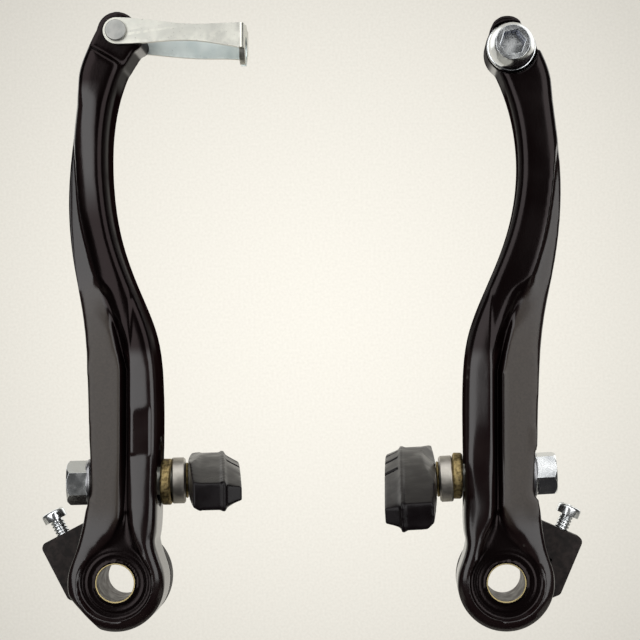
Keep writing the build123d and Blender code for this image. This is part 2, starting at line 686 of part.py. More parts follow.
def make_brake_pad():
    """A moulded block: arched and bevelled behind the stud, with a parting ridge and water slots."""
    ridge = PAD_BACK + PAD_BACK_THICKNESS
    face = ridge + PAD_FRONT_THICKNESS
    half_length = PAD_LENGTH / 2
    bevel = PAD_BACK_BEVEL
    parting = Plane(origin=(-ridge, 0, 0), x_dir=(0, -1, 0), z_dir=(-1, 0, 0))
    with BuildSketch(parting) as outline:
        with BuildLine():
            Line((-half_length, -PAD_BOTTOM_END), (-half_length, PAD_TOP_END))
            ThreePointArc((-half_length, PAD_TOP_END), (0, PAD_TOP), (half_length, PAD_TOP_END))
            Line((half_length, PAD_TOP_END), (half_length, -PAD_BOTTOM_END))
            ThreePointArc((half_length, -PAD_BOTTOM_END), (0, -PAD_BOTTOM), (-half_length, -PAD_BOTTOM_END))
        make_face()
        fillet(outline.vertices(), PAD_CORNER)
    ridge_outline = offset(outline.sketch, RIDGE_PROUD)
    with BuildPart() as back:
        extrude(outline.sketch, amount=PAD_BACK_THICKNESS, dir=(1, 0, 0))
        # the long corners behind are bevelled where the block stands high
        with BuildSketch(Plane.XZ.offset(-PAD_LENGTH)):
            with BuildLine():
                Polyline(
                    (-face, PAD_TOP + bevel), (-PAD_BACK - 2 * bevel, PAD_TOP + bevel),
                    (-PAD_BACK, PAD_TOP - bevel), (-PAD_BACK, bevel - PAD_BOTTOM),
                    (-PAD_BACK - 2 * bevel, -PAD_BOTTOM - bevel), (-face, -PAD_BOTTOM - bevel),
                    close=True,
                )
            make_face()
        extrude(amount=2 * PAD_LENGTH, mode=Mode.INTERSECT)
        # its back falls away towards both ends
        end_x = PAD_END_THICKNESS - ridge
        with BuildSketch(Plane.XY.offset(-PAD_LENGTH)):
            with BuildLine():
                ThreePointArc((end_x, half_length), (-PAD_BACK, 0), (end_x, -half_length))
                Polyline(
                    (end_x, -half_length), (end_x, -PAD_LENGTH), (-face, -PAD_LENGTH), (-face, PAD_LENGTH),
                    (end_x, PAD_LENGTH), (end_x, half_length),
                )
            make_face()
        extrude(amount=2 * PAD_LENGTH, mode=Mode.INTERSECT)
    with BuildPart() as pad:
        add(back.part)
        extrude(outline.sketch, amount=PAD_FRONT_THICKNESS, dir=(-1, 0, 0), taper=PAD_FRONT_TAPER)
        extrude(ridge_outline, amount=RIDGE_WIDTH, dir=(-1, 0, 0))
        # water slots across the braking face
        with BuildSketch(Plane.YZ.offset(-face)):
            with GridLocations(SLOT_SPACING, 1, SLOT_COUNT, 1):
                Rectangle(SLOT_WIDTH, 4 * PAD_TOP)
        extrude(amount=SLOT_DEPTH, mode=Mode.SUBTRACT)
    return pad


def make_fitted_pad():
    """The block on its stud, hollow where the stud's plate is moulded in."""
    block = make_brake_pad()
    stud = make_pad_stud()
    with BuildPart() as pad:
        add(block.part)
        add(stud.part, mode=Mode.SUBTRACT)
    return pad


def on_stud(piece, side, tilted):
    """Carry a stud piece to the arm's slot, tilted with the stud or square to the arm."""
    tilt = PAD_TILT[side] if tilted else (0, 0, 0)
    with BuildPart() as placed:
        with Locations(Location((STUD_X, -STUD_DEPTH, STUD_HEIGHT[side]), tilt)):
            add(piece.part)
    return placed


# Left head's bracket: one folded sheet, two legs and an end plate with a keyhole
def leg_outline(waist_drop, end_drop):
    """Outline of a leg, from its round eye over its waist to the fold."""
    far_x = LINK_PIVOT_X - LINK_LENGTH + (FOLD_ROUND + LINK_SHEET) / 2
    waist_x = LINK_PIVOT_X - LINK_WAIST_X
    end_top = (far_x, LINK_PIVOT_Z + LINK_TOP)
    end_bottom = (far_x, LINK_PIVOT_Z + LINK_TOP - LINK_END_HEIGHT - end_drop)
    eye_top = (LINK_PIVOT_X, LINK_PIVOT_Z + LINK_EYE_RADIUS)
    eye_side = (LINK_PIVOT_X + LINK_EYE_RADIUS, LINK_PIVOT_Z)
    eye_bottom = (LINK_PIVOT_X, LINK_PIVOT_Z - LINK_EYE_RADIUS)
    with BuildLine() as outline:
        ThreePointArc(eye_bottom, eye_side, eye_top)
        Spline(eye_top, (waist_x, LINK_PIVOT_Z + LINK_WAIST_TOP), end_top, tangents=[(-1, 0), (-1, 0)])
        Line(end_top, end_bottom)
        Spline(
            end_bottom, (waist_x, LINK_PIVOT_Z - LINK_WAIST_BOTTOM - waist_drop), eye_bottom,
            tangents=[(1, 0.15), (1, 0)],
        )
    return outline


def make_cable_link():
    front_leg = LUG_FRONT + LINK_SIDE_GAP
    back_leg = LUG_BACK - LINK_SIDE_GAP
    width = front_leg - back_leg + 2 * LINK_SHEET
    middle_depth = (front_leg + back_leg) / 2
    top = LINK_PIVOT_Z + LINK_TOP
    with BuildPart() as plate:
        with BuildSketch(Plane.YZ.offset(LINK_PIVOT_X - LINK_LENGTH)):
            with Locations((-middle_depth, top)):
                Rectangle(width, LINK_END_HEIGHT, align=(Align.CENTER, Align.MAX))
        extrude(amount=LINK_SHEET)
        fillet(plate.edges().filter_by(Axis.Z).group_by(Axis.X)[0], FOLD_ROUND)
    with BuildPart() as link:
        add(plate.part)
        for near, drops in (
            (front_leg, (0, 0)), (back_leg - LINK_SHEET, (LINK_BACK_WAIST_DROP, LINK_BACK_END_DROP))
        ):
            with BuildSketch(front_plane(near)):
                add(leg_outline(*drops).line)
                make_face()
            extrude(amount=LINK_SHEET)
        # a round lobe hangs below the end plate, with a keyhole open downwards
        with BuildSketch(Plane.YZ.offset(LINK_PIVOT_X - LINK_LENGTH)):
            with Locations((-middle_depth, top - LOBE_DROP + LOBE_WIDTH / 2)):
                Circle(LOBE_WIDTH / 2)
        extrude(amount=LINK_SHEET)
        with BuildSketch(Plane.YZ.offset(LINK_PIVOT_X - LINK_LENGTH)):
            with Locations((-middle_depth, top - KEYHOLE_DEPTH)):
                Circle(KEYHOLE_RADIUS)
                Rectangle(KEYHOLE_SLOT, LOBE_DROP, align=(Align.CENTER, Align.MAX))
        extrude(amount=LINK_SHEET, mode=Mode.SUBTRACT)
        # rivet holes
        with BuildSketch(front_plane(0)):
            with Locations((LINK_PIVOT_X, LINK_PIVOT_Z)):
                Circle(RIVET_RADIUS)
        extrude(amount=ARM_FRONT + LINK_SHEET, mode=Mode.SUBTRACT)
    return link


def make_link_rivet():
    outer_front = LUG_FRONT + LINK_SIDE_GAP + LINK_SHEET
    outer_back = LUG_BACK - LINK_SIDE_GAP - LINK_SHEET
    with BuildPart() as rivet:
        with Locations((LINK_PIVOT_X, 0, LINK_PIVOT_Z)):
            with Locations((0, -outer_back, 0)):
                Cylinder(
                    RIVET_RADIUS, outer_front - outer_back, rotation=(90, 0, 0),
                    align=(Align.CENTER, Align.CENTER, Align.MIN),
                )
            with Locations((0, -outer_front, 0)):
                Cylinder(
                    RIVET_HEAD_RADIUS, RIVET_HEAD_HEIGHT, rotation=(90, 0, 0),
                    align=(Align.CENTER, Align.CENTER, Align.MIN),
                )
            with Locations((0, -outer_back, 0)):
                Cylinder(
                    RIVET_HEAD_RADIUS, RIVET_HEAD_HEIGHT, rotation=(90, 0, 0),
                    align=(Align.CENTER, Align.CENTER, Align.MAX),
                )
        ends = rivet.edges().filter_by(GeomType.CIRCLE).sort_by(Axis.Y)
        fillet([ends[0], ends[-1]], RIVET_HEAD_HEIGHT / 3)
    return rivet


# Right head's cable anchor: a domed hex-socket bolt on a loose washer
def make_anchor_washer():
    with BuildPart() as washer:
        with BuildSketch(front_plane(ANCHOR_FACE)):
            with Locations((ANCHOR_X, ANCHOR_Z)):
                Circle(ANCHOR_WASHER_RADIUS)
                Circle(ANCHOR_THREAD_DIAMETER / 2 + THREAD_CLEARANCE, mode=Mode.SUBTRACT)
        extrude(amount=ANCHOR_WASHER_THICKNESS)
        front_rims = washer.edges().filter_by(GeomType.CIRCLE).sort_by(Axis.Y)[:2]
        chamfer(front_rims.sort_by(SortBy.RADIUS)[-1:], WASHER_EDGE / 2)
    return washer


def make_anchor_bolt():
    under_head = ANCHOR_FACE + ANCHOR_WASHER_THICKNESS
    with BuildPart() as bolt:
        with BuildSketch(Plane.YZ):
            with BuildLine():
                Line((-under_head, 0), (-under_head, ANCHOR_FLANGE_RADIUS))
                Line((-under_head, ANCHOR_FLANGE_RADIUS), (-under_head - FLANGE_EDGE, ANCHOR_FLANGE_RADIUS))
                ThreePointArc(
                    (-under_head - FLANGE_EDGE, ANCHOR_FLANGE_RADIUS),
                    (
                        -under_head - (FLANGE_EDGE + ANCHOR_HEAD_HEIGHT) / 2,
                        (ANCHOR_FLANGE_RADIUS + ANCHOR_HEAD_TOP_RADIUS) / 2 + ANCHOR_DOME,
                    ),
                    (-under_head - ANCHOR_HEAD_HEIGHT, ANCHOR_HEAD_TOP_RADIUS),
                )
                Line(
                    (-under_head - ANCHOR_HEAD_HEIGHT, ANCHOR_HEAD_TOP_RADIUS),
                    (-under_head - ANCHOR_HEAD_HEIGHT, 0),
                )
                Line((-under_head - ANCHOR_HEAD_HEIGHT, 0), (-under_head, 0))
            make_face()
        revolve(axis=Axis.Y)
        with BuildSketch(front_plane(under_head)):
            Circle(ANCHOR_THREAD_DIAMETER / 2)
        extrude(amount=-ANCHOR_BOLT_LENGTH)
        with BuildSketch(front_plane(under_head + ANCHOR_HEAD_HEIGHT)):
            RegularPolygon(ANCHOR_KEY / 2, 6, major_radius=False, rotation=KEY_TURN)
        extrude(amount=-ANCHOR_KEY_DEPTH, mode=Mode.SUBTRACT)
    with BuildPart() as placed:
        with Locations((ANCHOR_X, 0, ANCHOR_Z)):
            add(bolt.part)
    return placed


for side in ("left", "right"):
    fixed_pieces = {
        "pivot_sleeve": make_sleeve(),
        "spring_cover": make_cover(),
        "locating_pin": make_locating_pin(),
        "tension_screw": make_tension_screw(),
        "return_spring": make_return_spring(),
    }
    turning_pieces = {
        "arm": make_arm(side),
        "gold_washer": on_stud(make_gold_washer(), side, tilted=False),
        "cup_washer": on_stud(make_cup_washer(), side, tilted=True),
        "inner_washer": on_stud(make_inner_washer(), side, tilted=True),
        "outer_washer": on_stud(make_outer_washer(), side, tilted=False),
        "pad_nut": on_stud(make_pad_nut(side), side, tilted=True),
        "pad_stud": on_stud(make_pad_stud(), side, tilted=True),
        "brake_pad": on_stud(make_fitted_pad(), side, tilted=True),
    }
    for name, piece in fixed_pieces.items():
        keep(seat(piece, side, turn=COVER_TURN[side]), f"{side}_{name}")
    for name, piece in turning_pieces.items():
        keep(seat(piece, side), f"{side}_{name}")

keep(seat(make_cable_link(), "left"), "cable_link")
keep(seat(make_link_rivet(), "left"), "link_rivet")
keep(seat(make_anchor_washer(), "right"), "anchor_washer")
keep(seat(make_anchor_bolt(), "right"), "anchor_bolt")
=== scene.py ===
"""A linear-pull rim brake: two cast arms with their pads and fittings, against a plain pale sheet."""
import json
import logging
import math
from collections.abc import Callable
from dataclasses import dataclass, field
from enum import Enum

import bmesh
import bpy
import numpy as np
from mathutils import Matrix, Vector

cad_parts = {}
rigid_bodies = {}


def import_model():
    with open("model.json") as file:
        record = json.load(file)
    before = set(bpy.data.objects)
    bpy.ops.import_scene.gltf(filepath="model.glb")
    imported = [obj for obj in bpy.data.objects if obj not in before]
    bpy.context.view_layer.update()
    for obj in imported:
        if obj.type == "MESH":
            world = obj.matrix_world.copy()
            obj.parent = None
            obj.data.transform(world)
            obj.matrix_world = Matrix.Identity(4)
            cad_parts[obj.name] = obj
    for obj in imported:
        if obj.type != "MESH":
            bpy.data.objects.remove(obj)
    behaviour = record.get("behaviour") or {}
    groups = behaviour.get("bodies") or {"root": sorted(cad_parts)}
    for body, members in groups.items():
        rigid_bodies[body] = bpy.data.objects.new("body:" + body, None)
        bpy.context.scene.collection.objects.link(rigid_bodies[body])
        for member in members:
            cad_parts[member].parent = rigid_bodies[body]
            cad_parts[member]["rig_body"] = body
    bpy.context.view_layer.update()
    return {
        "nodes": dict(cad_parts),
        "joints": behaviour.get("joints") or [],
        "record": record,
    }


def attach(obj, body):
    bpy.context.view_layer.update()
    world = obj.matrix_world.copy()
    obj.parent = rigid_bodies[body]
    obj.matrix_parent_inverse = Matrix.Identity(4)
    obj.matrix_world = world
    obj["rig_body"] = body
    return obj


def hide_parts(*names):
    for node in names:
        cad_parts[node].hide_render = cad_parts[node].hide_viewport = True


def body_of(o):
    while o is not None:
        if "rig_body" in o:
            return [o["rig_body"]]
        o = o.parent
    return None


LOG = logging.getLogger("rim_brake")
MM = 0.001
PIVOT_X = 42.3
COLOUR_MIX_INPUTS = (0, 6, 7)
COLOUR_MIX_OUTPUT = 2
CLOUD_BAND = (0.32, 0.68)
SPECK_TOP = 0.8
SPECK_SPREAD = 0.35
PATCH_BAND = (0.4, 0.65)


class Side(Enum):
    """Which arm a piece belongs to."""

    LEFT = -1
    RIGHT = 1

    def node(self, piece: str) -> str:
        """Name this side's CAD node.

        Args:
            piece: What the node is, without its side.

        Returns:
            The node's name.
        """
        return f"{self.name.lower()}_{piece}"

    def own(self, points: np.ndarray) -> np.ndarray:
        """Turn places in metres into millimetres from the pivot, with x outwards.

        Args:
            points: Places of the vertices in the shared frame.

        Returns:
            The same places in the arm's own frame.
        """
        own = points / MM
        own[:, 0] = own[:, 0] * self.value - PIVOT_X
        return own

    def shared(self, own: np.ndarray) -> np.ndarray:
        """Turn the arm's own places back into the shared frame.

        Args:
            own: Places in millimetres from the pivot, with x outwards.

        Returns:
            The places in metres.
        """
        points = own.copy()
        points[:, 0] = (points[:, 0] + PIVOT_X) * self.value
        return points * MM


# Mesh helpers


def smooth_step(value: np.ndarray, low: float, high: float) -> np.ndarray:
    """Rise smoothly from 0 at low to 1 at high.

    Args:
        value: Numbers to map.
        low: Where the rise starts.
        high: Where the rise ends.

    Returns:
        A weight for each number.
    """
    part = np.clip((value - low) / (high - low), 0.0, 1.0)
    return part * part * (3.0 - 2.0 * part)


def within(value: np.ndarray, start: float, full: float, fade: float, end: float) -> np.ndarray:
    """Rise smoothly from 0 to 1, stay there, and fall smoothly back to 0.

    Args:
        value: Numbers to map.
        start: Where the rise starts.
        full: Where the rise ends.
        fade: Where the fall starts.
        end: Where the fall ends.

    Returns:
        A weight for each number.
    """
    return smooth_step(value, start, full) * (1.0 - smooth_step(value, fade, end))


def bell(value: np.ndarray, middle: float, width: float, power: int = 2) -> np.ndarray:
    """Rise to 1 at one place and fall off on both sides.

    Args:
        value: Numbers to map.
        middle: Where the top is.
        width: How far off it has fallen to about a third.
        power: 2 for a round top, more for a flat one.

    Returns:
        A weight for each number.
    """
    return np.exp(-(((value - middle) / width) ** power))


def read_points(mesh: bpy.types.Mesh) -> np.ndarray:
    """Read a mesh's vertex places.

    Args:
        mesh: The mesh to read.

    Returns:
        One row for each vertex.
    """
    flat = np.empty(len(mesh.vertices) * 3)
    mesh.vertices.foreach_get("co", flat)
    return flat.reshape(-1, 3)


def write_points(mesh: bpy.types.Mesh, points: np.ndarray) -> None:
    """Put changed vertex places back into a mesh.

    Args:
        mesh: The mesh to change.
        points: One row for each vertex.
    """
    mesh.vertices.foreach_set("co", points.ravel())
    mesh.update()


def relax(points: np.ndarray, edges: np.ndarray, weight: np.ndarray, rounds: int) -> np.ndarray:
    """Draw each vertex towards the middle of its neighbours, as polishing does.

    Args:
        points: Vertex places.
        edges: Pairs of vertex numbers.
        weight: How strongly each vertex follows.
        rounds: How often it is done.

    Returns:
        The new places.
    """
    count = len(points)
    first, second = edges[:, 0], edges[:, 1]
    share = (np.bincount(first, minlength=count) + np.bincount(second, minlength=count))[:, None]
    for _ in range(rounds):
        total = np.empty_like(points)
        for axis in range(3):
            line = points[:, axis]
            total[:, axis] = np.bincount(first, line[second], count)
            total[:, axis] += np.bincount(second, line[first], count)
        points = points + 0.5 * weight[:, None] * (total / share - points)
    return points


def shade_smooth(mesh: bpy.types.Mesh) -> None:
    """Shade a mesh's faces smoothly.

    Args:
        mesh: The mesh to change.
    """
    mesh.polygons.foreach_set("use_smooth", [True] * len(mesh.polygons))


def read_edges(mesh: bpy.types.Mesh) -> np.ndarray:
    """Read the vertex pairs of a mesh's edges.

    Args:
        mesh: The mesh to read.

    Returns:
        One row of two vertex numbers for each edge.
    """
    flat = np.empty(len(mesh.edges) * 2, dtype=np.int64)
    mesh.edges.foreach_get("vertices", flat)
    return flat.reshape(-1, 2)


def add_weights(mesh: bpy.types.Mesh, name: str, values: np.ndarray) -> None:
    """Keep one number for each vertex, for a material to read.

    Args:
        mesh: The mesh that gets the numbers.
        name: What the material asks for.
        values: One number for each vertex.
    """
    layer = mesh.attributes.new(name, "FLOAT", "POINT")
    layer.data.foreach_set("value", values.astype(np.float32))


@dataclass
class Workshop:
    """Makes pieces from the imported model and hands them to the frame."""

    nodes: dict
    slots: dict
    finishes: dict
    merge_distance: float = 0.0008
    flat_angle: float = 1.0
    sharp_angle: float = 30.0

    def copy_solid(self, node: str, name: str) -> bpy.types.Object:
        """Copy a CAD solid into a merged mesh of its own.

        Args:
            node: The CAD node to copy.
            name: Name of the new piece.

        Returns:
            The new piece, at the origin.
        """
        mesh = bpy.data.meshes.new(name)
        shape = bmesh.new()
        shape.from_mesh(self.nodes[node].data)
        bmesh.ops.remove_doubles(shape, verts=shape.verts, dist=self.merge_distance * MM)
        shape.to_mesh(mesh)
        shape.free()
        extra = mesh.attributes.get("custom_normal")
        if extra:
            mesh.attributes.remove(extra)
        piece = bpy.data.objects.new(name, mesh)
        bpy.context.scene.collection.objects.link(piece)
        return piece

    def settle(self, piece: bpy.types.Object) -> None:
        """Turn a piece's modifiers into plain mesh.

        Args:
            piece: The piece to change.
        """
        bpy.context.view_layer.update()
        graph = bpy.context.evaluated_depsgraph_get()
        mesh = bpy.data.meshes.new_from_object(piece.evaluated_get(graph))
        mesh.name = piece.name
        piece.modifiers.clear()
        piece.data = mesh

    def remesh(self, piece: bpy.types.Object, size: float) -> None:
        """Give a piece an even skin of small faces.

        Args:
            piece: The piece to change.
            size: Size of a face in millimetres.
        """
        skin = piece.modifiers.new("skin", "REMESH")
        skin.mode = "VOXEL"
        skin.voxel_size = size * MM
        self.settle(piece)

    def soften_edges(self, piece: bpy.types.Object, width: float) -> None:
        """Round a piece's sharp edges a little, as plating and tumbling do.

        Args:
            piece: The piece to change.
            width: Width of the rounding in millimetres.
        """
        shape = bmesh.new()
        shape.from_mesh(piece.data)
        flat = math.radians(self.flat_angle)
        bmesh.ops.dissolve_limit(shape, angle_limit=flat, verts=shape.verts, edges=shape.edges)
        shape.to_mesh(piece.data)
        shape.free()
        bevel = piece.modifiers.new("edges", "BEVEL")
        bevel.width = width * MM
        bevel.segments = 3
        bevel.limit_method = "ANGLE"
        bevel.angle_limit = math.radians(self.sharp_angle)
        even = piece.modifiers.new("even", "WEIGHTED_NORMAL")
        even.keep_sharp = True
        even.weight = 80
        shade_smooth(piece.data)
        self.settle(piece)

    def hand_over(self, piece: bpy.types.Object, node: str, finish: str = "") -> None:
        """Dress a piece, let it stand for its CAD node and ride on that node's body.

        Args:
            piece: The finished piece.
            node: The CAD node that it stands for.
            finish: Name of its finish, if it isn't the node's own.
        """
        piece.data.materials.clear()
        piece.data.materials.append(self.finishes[finish or self.slots[node]])
        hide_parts(node)
        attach(piece, body_of(self.nodes[node])[0])
        LOG.info("%s: %d faces", piece.name, len(piece.data.polygons))

    def dress_solid(self, node: str, name: str, width: float, finish: str = "") -> bpy.types.Object:
        """Round a solid's edges, dress it and let it stand for its node.

        Args:
            node: The CAD node.
            name: Name of the new piece.
            width: Width of the rounding in millimetres.
            finish: Name of its finish, if it isn't the node's own.

        Returns:
            The dressed piece.
        """
        piece = self.copy_solid(node, name)
        self.soften_edges(piece, width)
        self.hand_over(piece, node, finish)
        return piece

    def tint(self, piece: bpy.types.Object, finish: str, chosen: Callable) -> None:
        """Give some of a dressed piece's faces another finish.

        Args:
            piece: The dressed piece.
            finish: Name of the other finish.
            chosen: Tells for a face whether it changes.
        """
        piece.data.materials.append(self.finishes[finish])
        for face in piece.data.polygons:
            if chosen(face):
                face.material_index = 1

    def dress_node(self, node: str) -> None:
        """Give a CAD node that stays its own finish.

        Args:
            node: The CAD node.
        """
        data = self.nodes[node].data
        data.materials.clear()
        data.materials.append(self.finishes[self.slots[node]])
        LOG.info("%s: kept", node)


# Node trees


def feed(tree: bpy.types.NodeTree, node: bpy.types.Node, feeds: dict) -> None:
    """Give a node's inputs their values.

    Args:
        tree: The node's tree.
        node: The node.
        feeds: What each input gets: a plain value, or another node's socket to follow.
    """
    for key, value in feeds.items():
        if isinstance(value, bpy.types.NodeSocket):
            tree.links.new(value, node.inputs[key])
        else:
            node.inputs[key].default_value = value


def add_node(tree: bpy.types.NodeTree, kind: str, feeds: dict, **settings: str) -> bpy.types.Node:
    """Add a node to a tree.

    Args:
        tree: The tree that gets it.
        kind: Type of the node.
        feeds: What its inputs get.
        settings: Its own settings. They come first, because they can change its inputs.

    Returns:
        The node.
    """
    node = tree.nodes.new(kind)
    for key, value in settings.items():
        setattr(node, key, value)
    feed(tree, node, feeds)
    return node


def work_out(tree: bpy.types.NodeTree, operation: str, *numbers: float) -> bpy.types.NodeSocket:
    """Work a number out from others.

    Args:
        tree: The tree that does it.
        operation: What is done.
        numbers: Plain numbers or sockets.

    Returns:
        The result.
    """
    return add_node(tree, "ShaderNodeMath", dict(enumerate(numbers)), operation=operation).outputs[0]


def add_noise(
    tree: bpy.types.NodeTree, given: bpy.types.Node, size: str, detail: float
) -> bpy.types.NodeSocket:
    """Make noise whose features have a size in millimetres.

    Args:
        tree: The tree that gets it.
        given: The tree's input node.
        size: Name of the input that holds the size.
        detail: How rough the noise is.

    Returns:
        The noise.
    """
    scale = work_out(tree, "DIVIDE", 1.0 / MM, given.outputs[size])
    feeds = {"Vector": given.outputs["Place"], "Scale": scale, "Detail": detail}
    return add_node(tree, "ShaderNodeTexNoise", feeds).outputs["Fac"]


def stretch(
    tree: bpy.types.NodeTree, value: bpy.types.NodeSocket, low: float, high: float, bend: str = "SMOOTHSTEP"
) -> bpy.types.NodeSocket:
    """Stretch a band of numbers to 0 to 1.

    Args:
        tree: The tree that does it.
        value: The numbers.
        low: What becomes 0.
        high: What becomes 1.
        bend: How the numbers rise in between.

    Returns:
        The stretched numbers.
    """
    feeds = {"Value": value, "From Min": low, "From Max": high}
    return add_node(tree, "ShaderNodeMapRange", feeds, interpolation_type=bend).outputs["Result"]


@dataclass
class Sheet:
    """One material's node tree, with short ways to add its nodes."""

    name: str
    material: bpy.types.Material = field(init=False)

    def __post_init__(self) -> None:
        """Start the material with its shader."""
        self.material = bpy.data.materials.new(self.name)
        self.material.use_nodes = True
        self.tree = self.material.node_tree
        self.shader = self.tree.nodes["Principled BSDF"]
        self.place = self.add("ShaderNodeTexCoord", {}).outputs["Object"]

    def add(self, kind: str, feeds: dict, **settings: str) -> bpy.types.Node:
        """Add a node to the material.

        Args:
            kind: Type of the node.
            feeds: What its inputs get.
            settings: Its own settings.

        Returns:
            The node.
        """
        return add_node(self.tree, kind, feeds, **settings)

    def effect(self, shared: bpy.types.NodeTree, **values: float) -> bpy.types.bpy_prop_collection:
        """Place a shared effect with this material's own values.

        Args:
            shared: The shared effect.
            values: Its inputs, with spaces written as low lines.

        Returns:
            Its outputs.
        """
        feeds = {key.replace("_", " "): value for key, value in values.items()}
        return self.add("ShaderNodeGroup", {"Place": self.place, **feeds}, node_tree=shared).outputs

    def blend(self, mask: bpy.types.NodeSocket, low: tuple, high: tuple) -> bpy.types.NodeSocket:
        """Mix two colours by a mask.

        Args:
            mask: 0 gives the first colour and 1 the second.
            low: First colour, plain or a socket.
            high: Second colour, plain or a socket.

        Returns:
            The mixed colour.
        """
        first, second = ((*tone, 1) if isinstance(tone, tuple) else tone for tone in (low, high))
        feeds = dict(zip(COLOUR_MIX_INPUTS, (mask, first, second)))
        return self.add("ShaderNodeMix", feeds, data_type="RGBA").outputs[COLOUR_MIX_OUTPUT]

    def span(self, mask: bpy.types.NodeSocket, low: float, high: float) -> bpy.types.NodeSocket:
        """Spread a mask between two numbers.

        Args:
            mask: Numbers from 0 to 1.
            low: What 0 becomes.
            high: What 1 becomes.

        Returns:
            The spread numbers.
        """
        feeds = {"Value": mask, "To Min": low, "To Max": high}
        return self.add("ShaderNodeMapRange", feeds).outputs["Result"]

    def attribute(self, name: str) -> bpy.types.NodeSocket:
        """Read numbers that a piece's vertices carry.

        Args:
            name: Name of the numbers.

        Returns:
            The numbers.
        """
        return self.add("ShaderNodeAttribute", {}, attribute_name=name).outputs["Fac"]

    def close(self, relief: tuple, feeds: dict) -> bpy.types.Material:
        """Give the shader its relief and its inputs.

        Args:
            relief: The height, its depth in millimetres, and how much of it shows.
            feeds: What the shader's inputs get.

        Returns:
            The finished material.
        """
        height, depth, share = relief
        bump = self.add("ShaderNodeBump", {"Height": height, "Distance": depth * MM, "Strength": share})
        feed(self.tree, self.shader, {"Normal": bump.outputs["Normal"], **feeds})
        return self.material


def new_effect(name: str, inputs: dict, outputs: tuple) -> tuple:
    """Start a shared shader effect.

    Args:
        name: Name of the effect.
        inputs: Its number inputs with their usual values.
        outputs: Names of its outputs.

    Returns:
        The tree, its input node and its output node.
    """
    tree = bpy.data.node_groups.new(name, "ShaderNodeTree")
    tree.interface.new_socket("Place", in_out="INPUT", socket_type="NodeSocketVector")
    for key, value in inputs.items():
        socket = tree.interface.new_socket(key, in_out="INPUT", socket_type="NodeSocketFloat")
        socket.default_value = value
    for key in outputs:
        tree.interface.new_socket(key, in_out="OUTPUT", socket_type="NodeSocketFloat")
    return tree, tree.nodes.new("NodeGroupInput"), tree.nodes.new("NodeGroupOutput")


def make_grain_effect() -> bpy.types.NodeTree:
    """Fine uneven grain: broad clouds and small specks of it.

    Returns:
        The shared effect, with Cloud, Speck and Height outputs.
    """
    tree, given, out = new_effect(
        "surface_grain", {"Cloud Size": 6.0, "Speck Size": 0.4, "Speck Share": 0.3},
        ("Cloud", "Speck", "Height"),
    )
    cloud = stretch(tree, add_noise(tree, given, "Cloud Size", 3.0), *CLOUD_BAND)
    fine = add_noise(tree, given, "Speck Size", 2.0)
    spread = work_out(tree, "MULTIPLY", given.outputs["Speck Share"], SPECK_SPREAD)
    speck = stretch(tree, fine, work_out(tree, "SUBTRACT", SPECK_TOP, spread), SPECK_TOP)
    feed(tree, out, {"Cloud": cloud, "Speck": speck, "Height": fine})
    return tree


def make_wear_effect() -> bpy.types.NodeTree:
    """Rubbed raised edges, broken up unevenly.

    Returns:
        The shared effect, with one Worn output.
    """
    tree, given, out = new_effect("rubbed_edges", {"Start": 0.52, "End": 0.6, "Patch Size": 3.0}, ("Worn",))
    bend = add_node(tree, "ShaderNodeNewGeometry", {}).outputs["Pointiness"]
    raised = stretch(tree, bend, given.outputs["Start"], given.outputs["End"])
    patch = stretch(tree, add_noise(tree, given, "Patch Size", 4.0), *PATCH_BAND, bend="LINEAR")
    feed(tree, out, {"Worn": work_out(tree, "MULTIPLY", raised, patch)})
    return tree


# Finishes


@dataclass(frozen=True)
class Lacquer:
    """Brown-black lacquer on cast metal: glossy, but duller on the broad outer flats, with painted sheen
    there and painted shade in the hollows, on the upper bars and on the head.
    """

    name: str = "black_lacquer"
    colour: tuple = (0.0058, 0.0022, 0.0024)
    warm: tuple = (0.0098, 0.0052, 0.0050)
    dull: tuple = (0.0100, 0.0050, 0.0020)
    # Painted sheen: the paler colour of the broad outer flat, where the lamps' sheen falls.
    painted_sheen: tuple = (0.0400, 0.0290, 0.0200)
    rubbed: tuple = (0.042, 0.036, 0.032)
    # Painted shade: the near-black colour of the hollows, the upper bars and the head.
    shaded: tuple = (0.0072, 0.0036, 0.0038)
    gloss_roughness: tuple = (0.15, 0.20)
    dull_roughness: float = 0.40
    side_roughness: float = 0.60
    usual_shine: float = 0.5
    side_shine: float = 0.0
    peel: tuple = (0.03, 0.22)

    def build(self, grain: bpy.types.NodeTree, wear: bpy.types.NodeTree) -> bpy.types.Material:
        """Make the lacquer.

        Args:
            grain: The shared grain effect.
            wear: The shared edge wear effect.

        Returns:
            The material.
        """
        sheet = Sheet(self.name)
        clouds = sheet.effect(grain, Cloud_Size=9.0, Speck_Size=0.5, Speck_Share=0.22)
        peel = sheet.effect(grain, Cloud_Size=1.6, Speck_Size=0.55, Speck_Share=0.1)
        edges = sheet.effect(wear, Start=0.53, End=0.66, Patch_Size=2.2)
        band, hollow, sides = (sheet.attribute(name) for name in ("dull_band", "hollow", "side_skin"))
        base = sheet.blend(clouds["Cloud"], self.colour, self.warm)
        # Painted sheen: the outer flat's paler, mottled colour stands in for the lamps' sheen on its real
        # duller, rougher lacquer.
        colour = sheet.blend(band, base, sheet.blend(clouds["Height"], self.dull, self.painted_sheen))
        colour = sheet.blend(edges["Worn"], colour, self.rubbed)
        # Painted shade: the marked hollows, upper bars and head turn near-black metal, darker and with
        # little shine.
        colour = sheet.blend(hollow, colour, self.shaded)
        rough = sheet.span(band, sheet.span(clouds["Cloud"], *self.gloss_roughness), self.dull_roughness)
        return sheet.close((peel["Height"], *self.peel), {
            "Base Color": colour,
            "Metallic": hollow,
            "Roughness": sheet.span(sides, rough, self.side_roughness),
            "Specular IOR Level": sheet.span(sides, self.usual_shine, self.side_shine),
            "IOR": 1.5,
        })


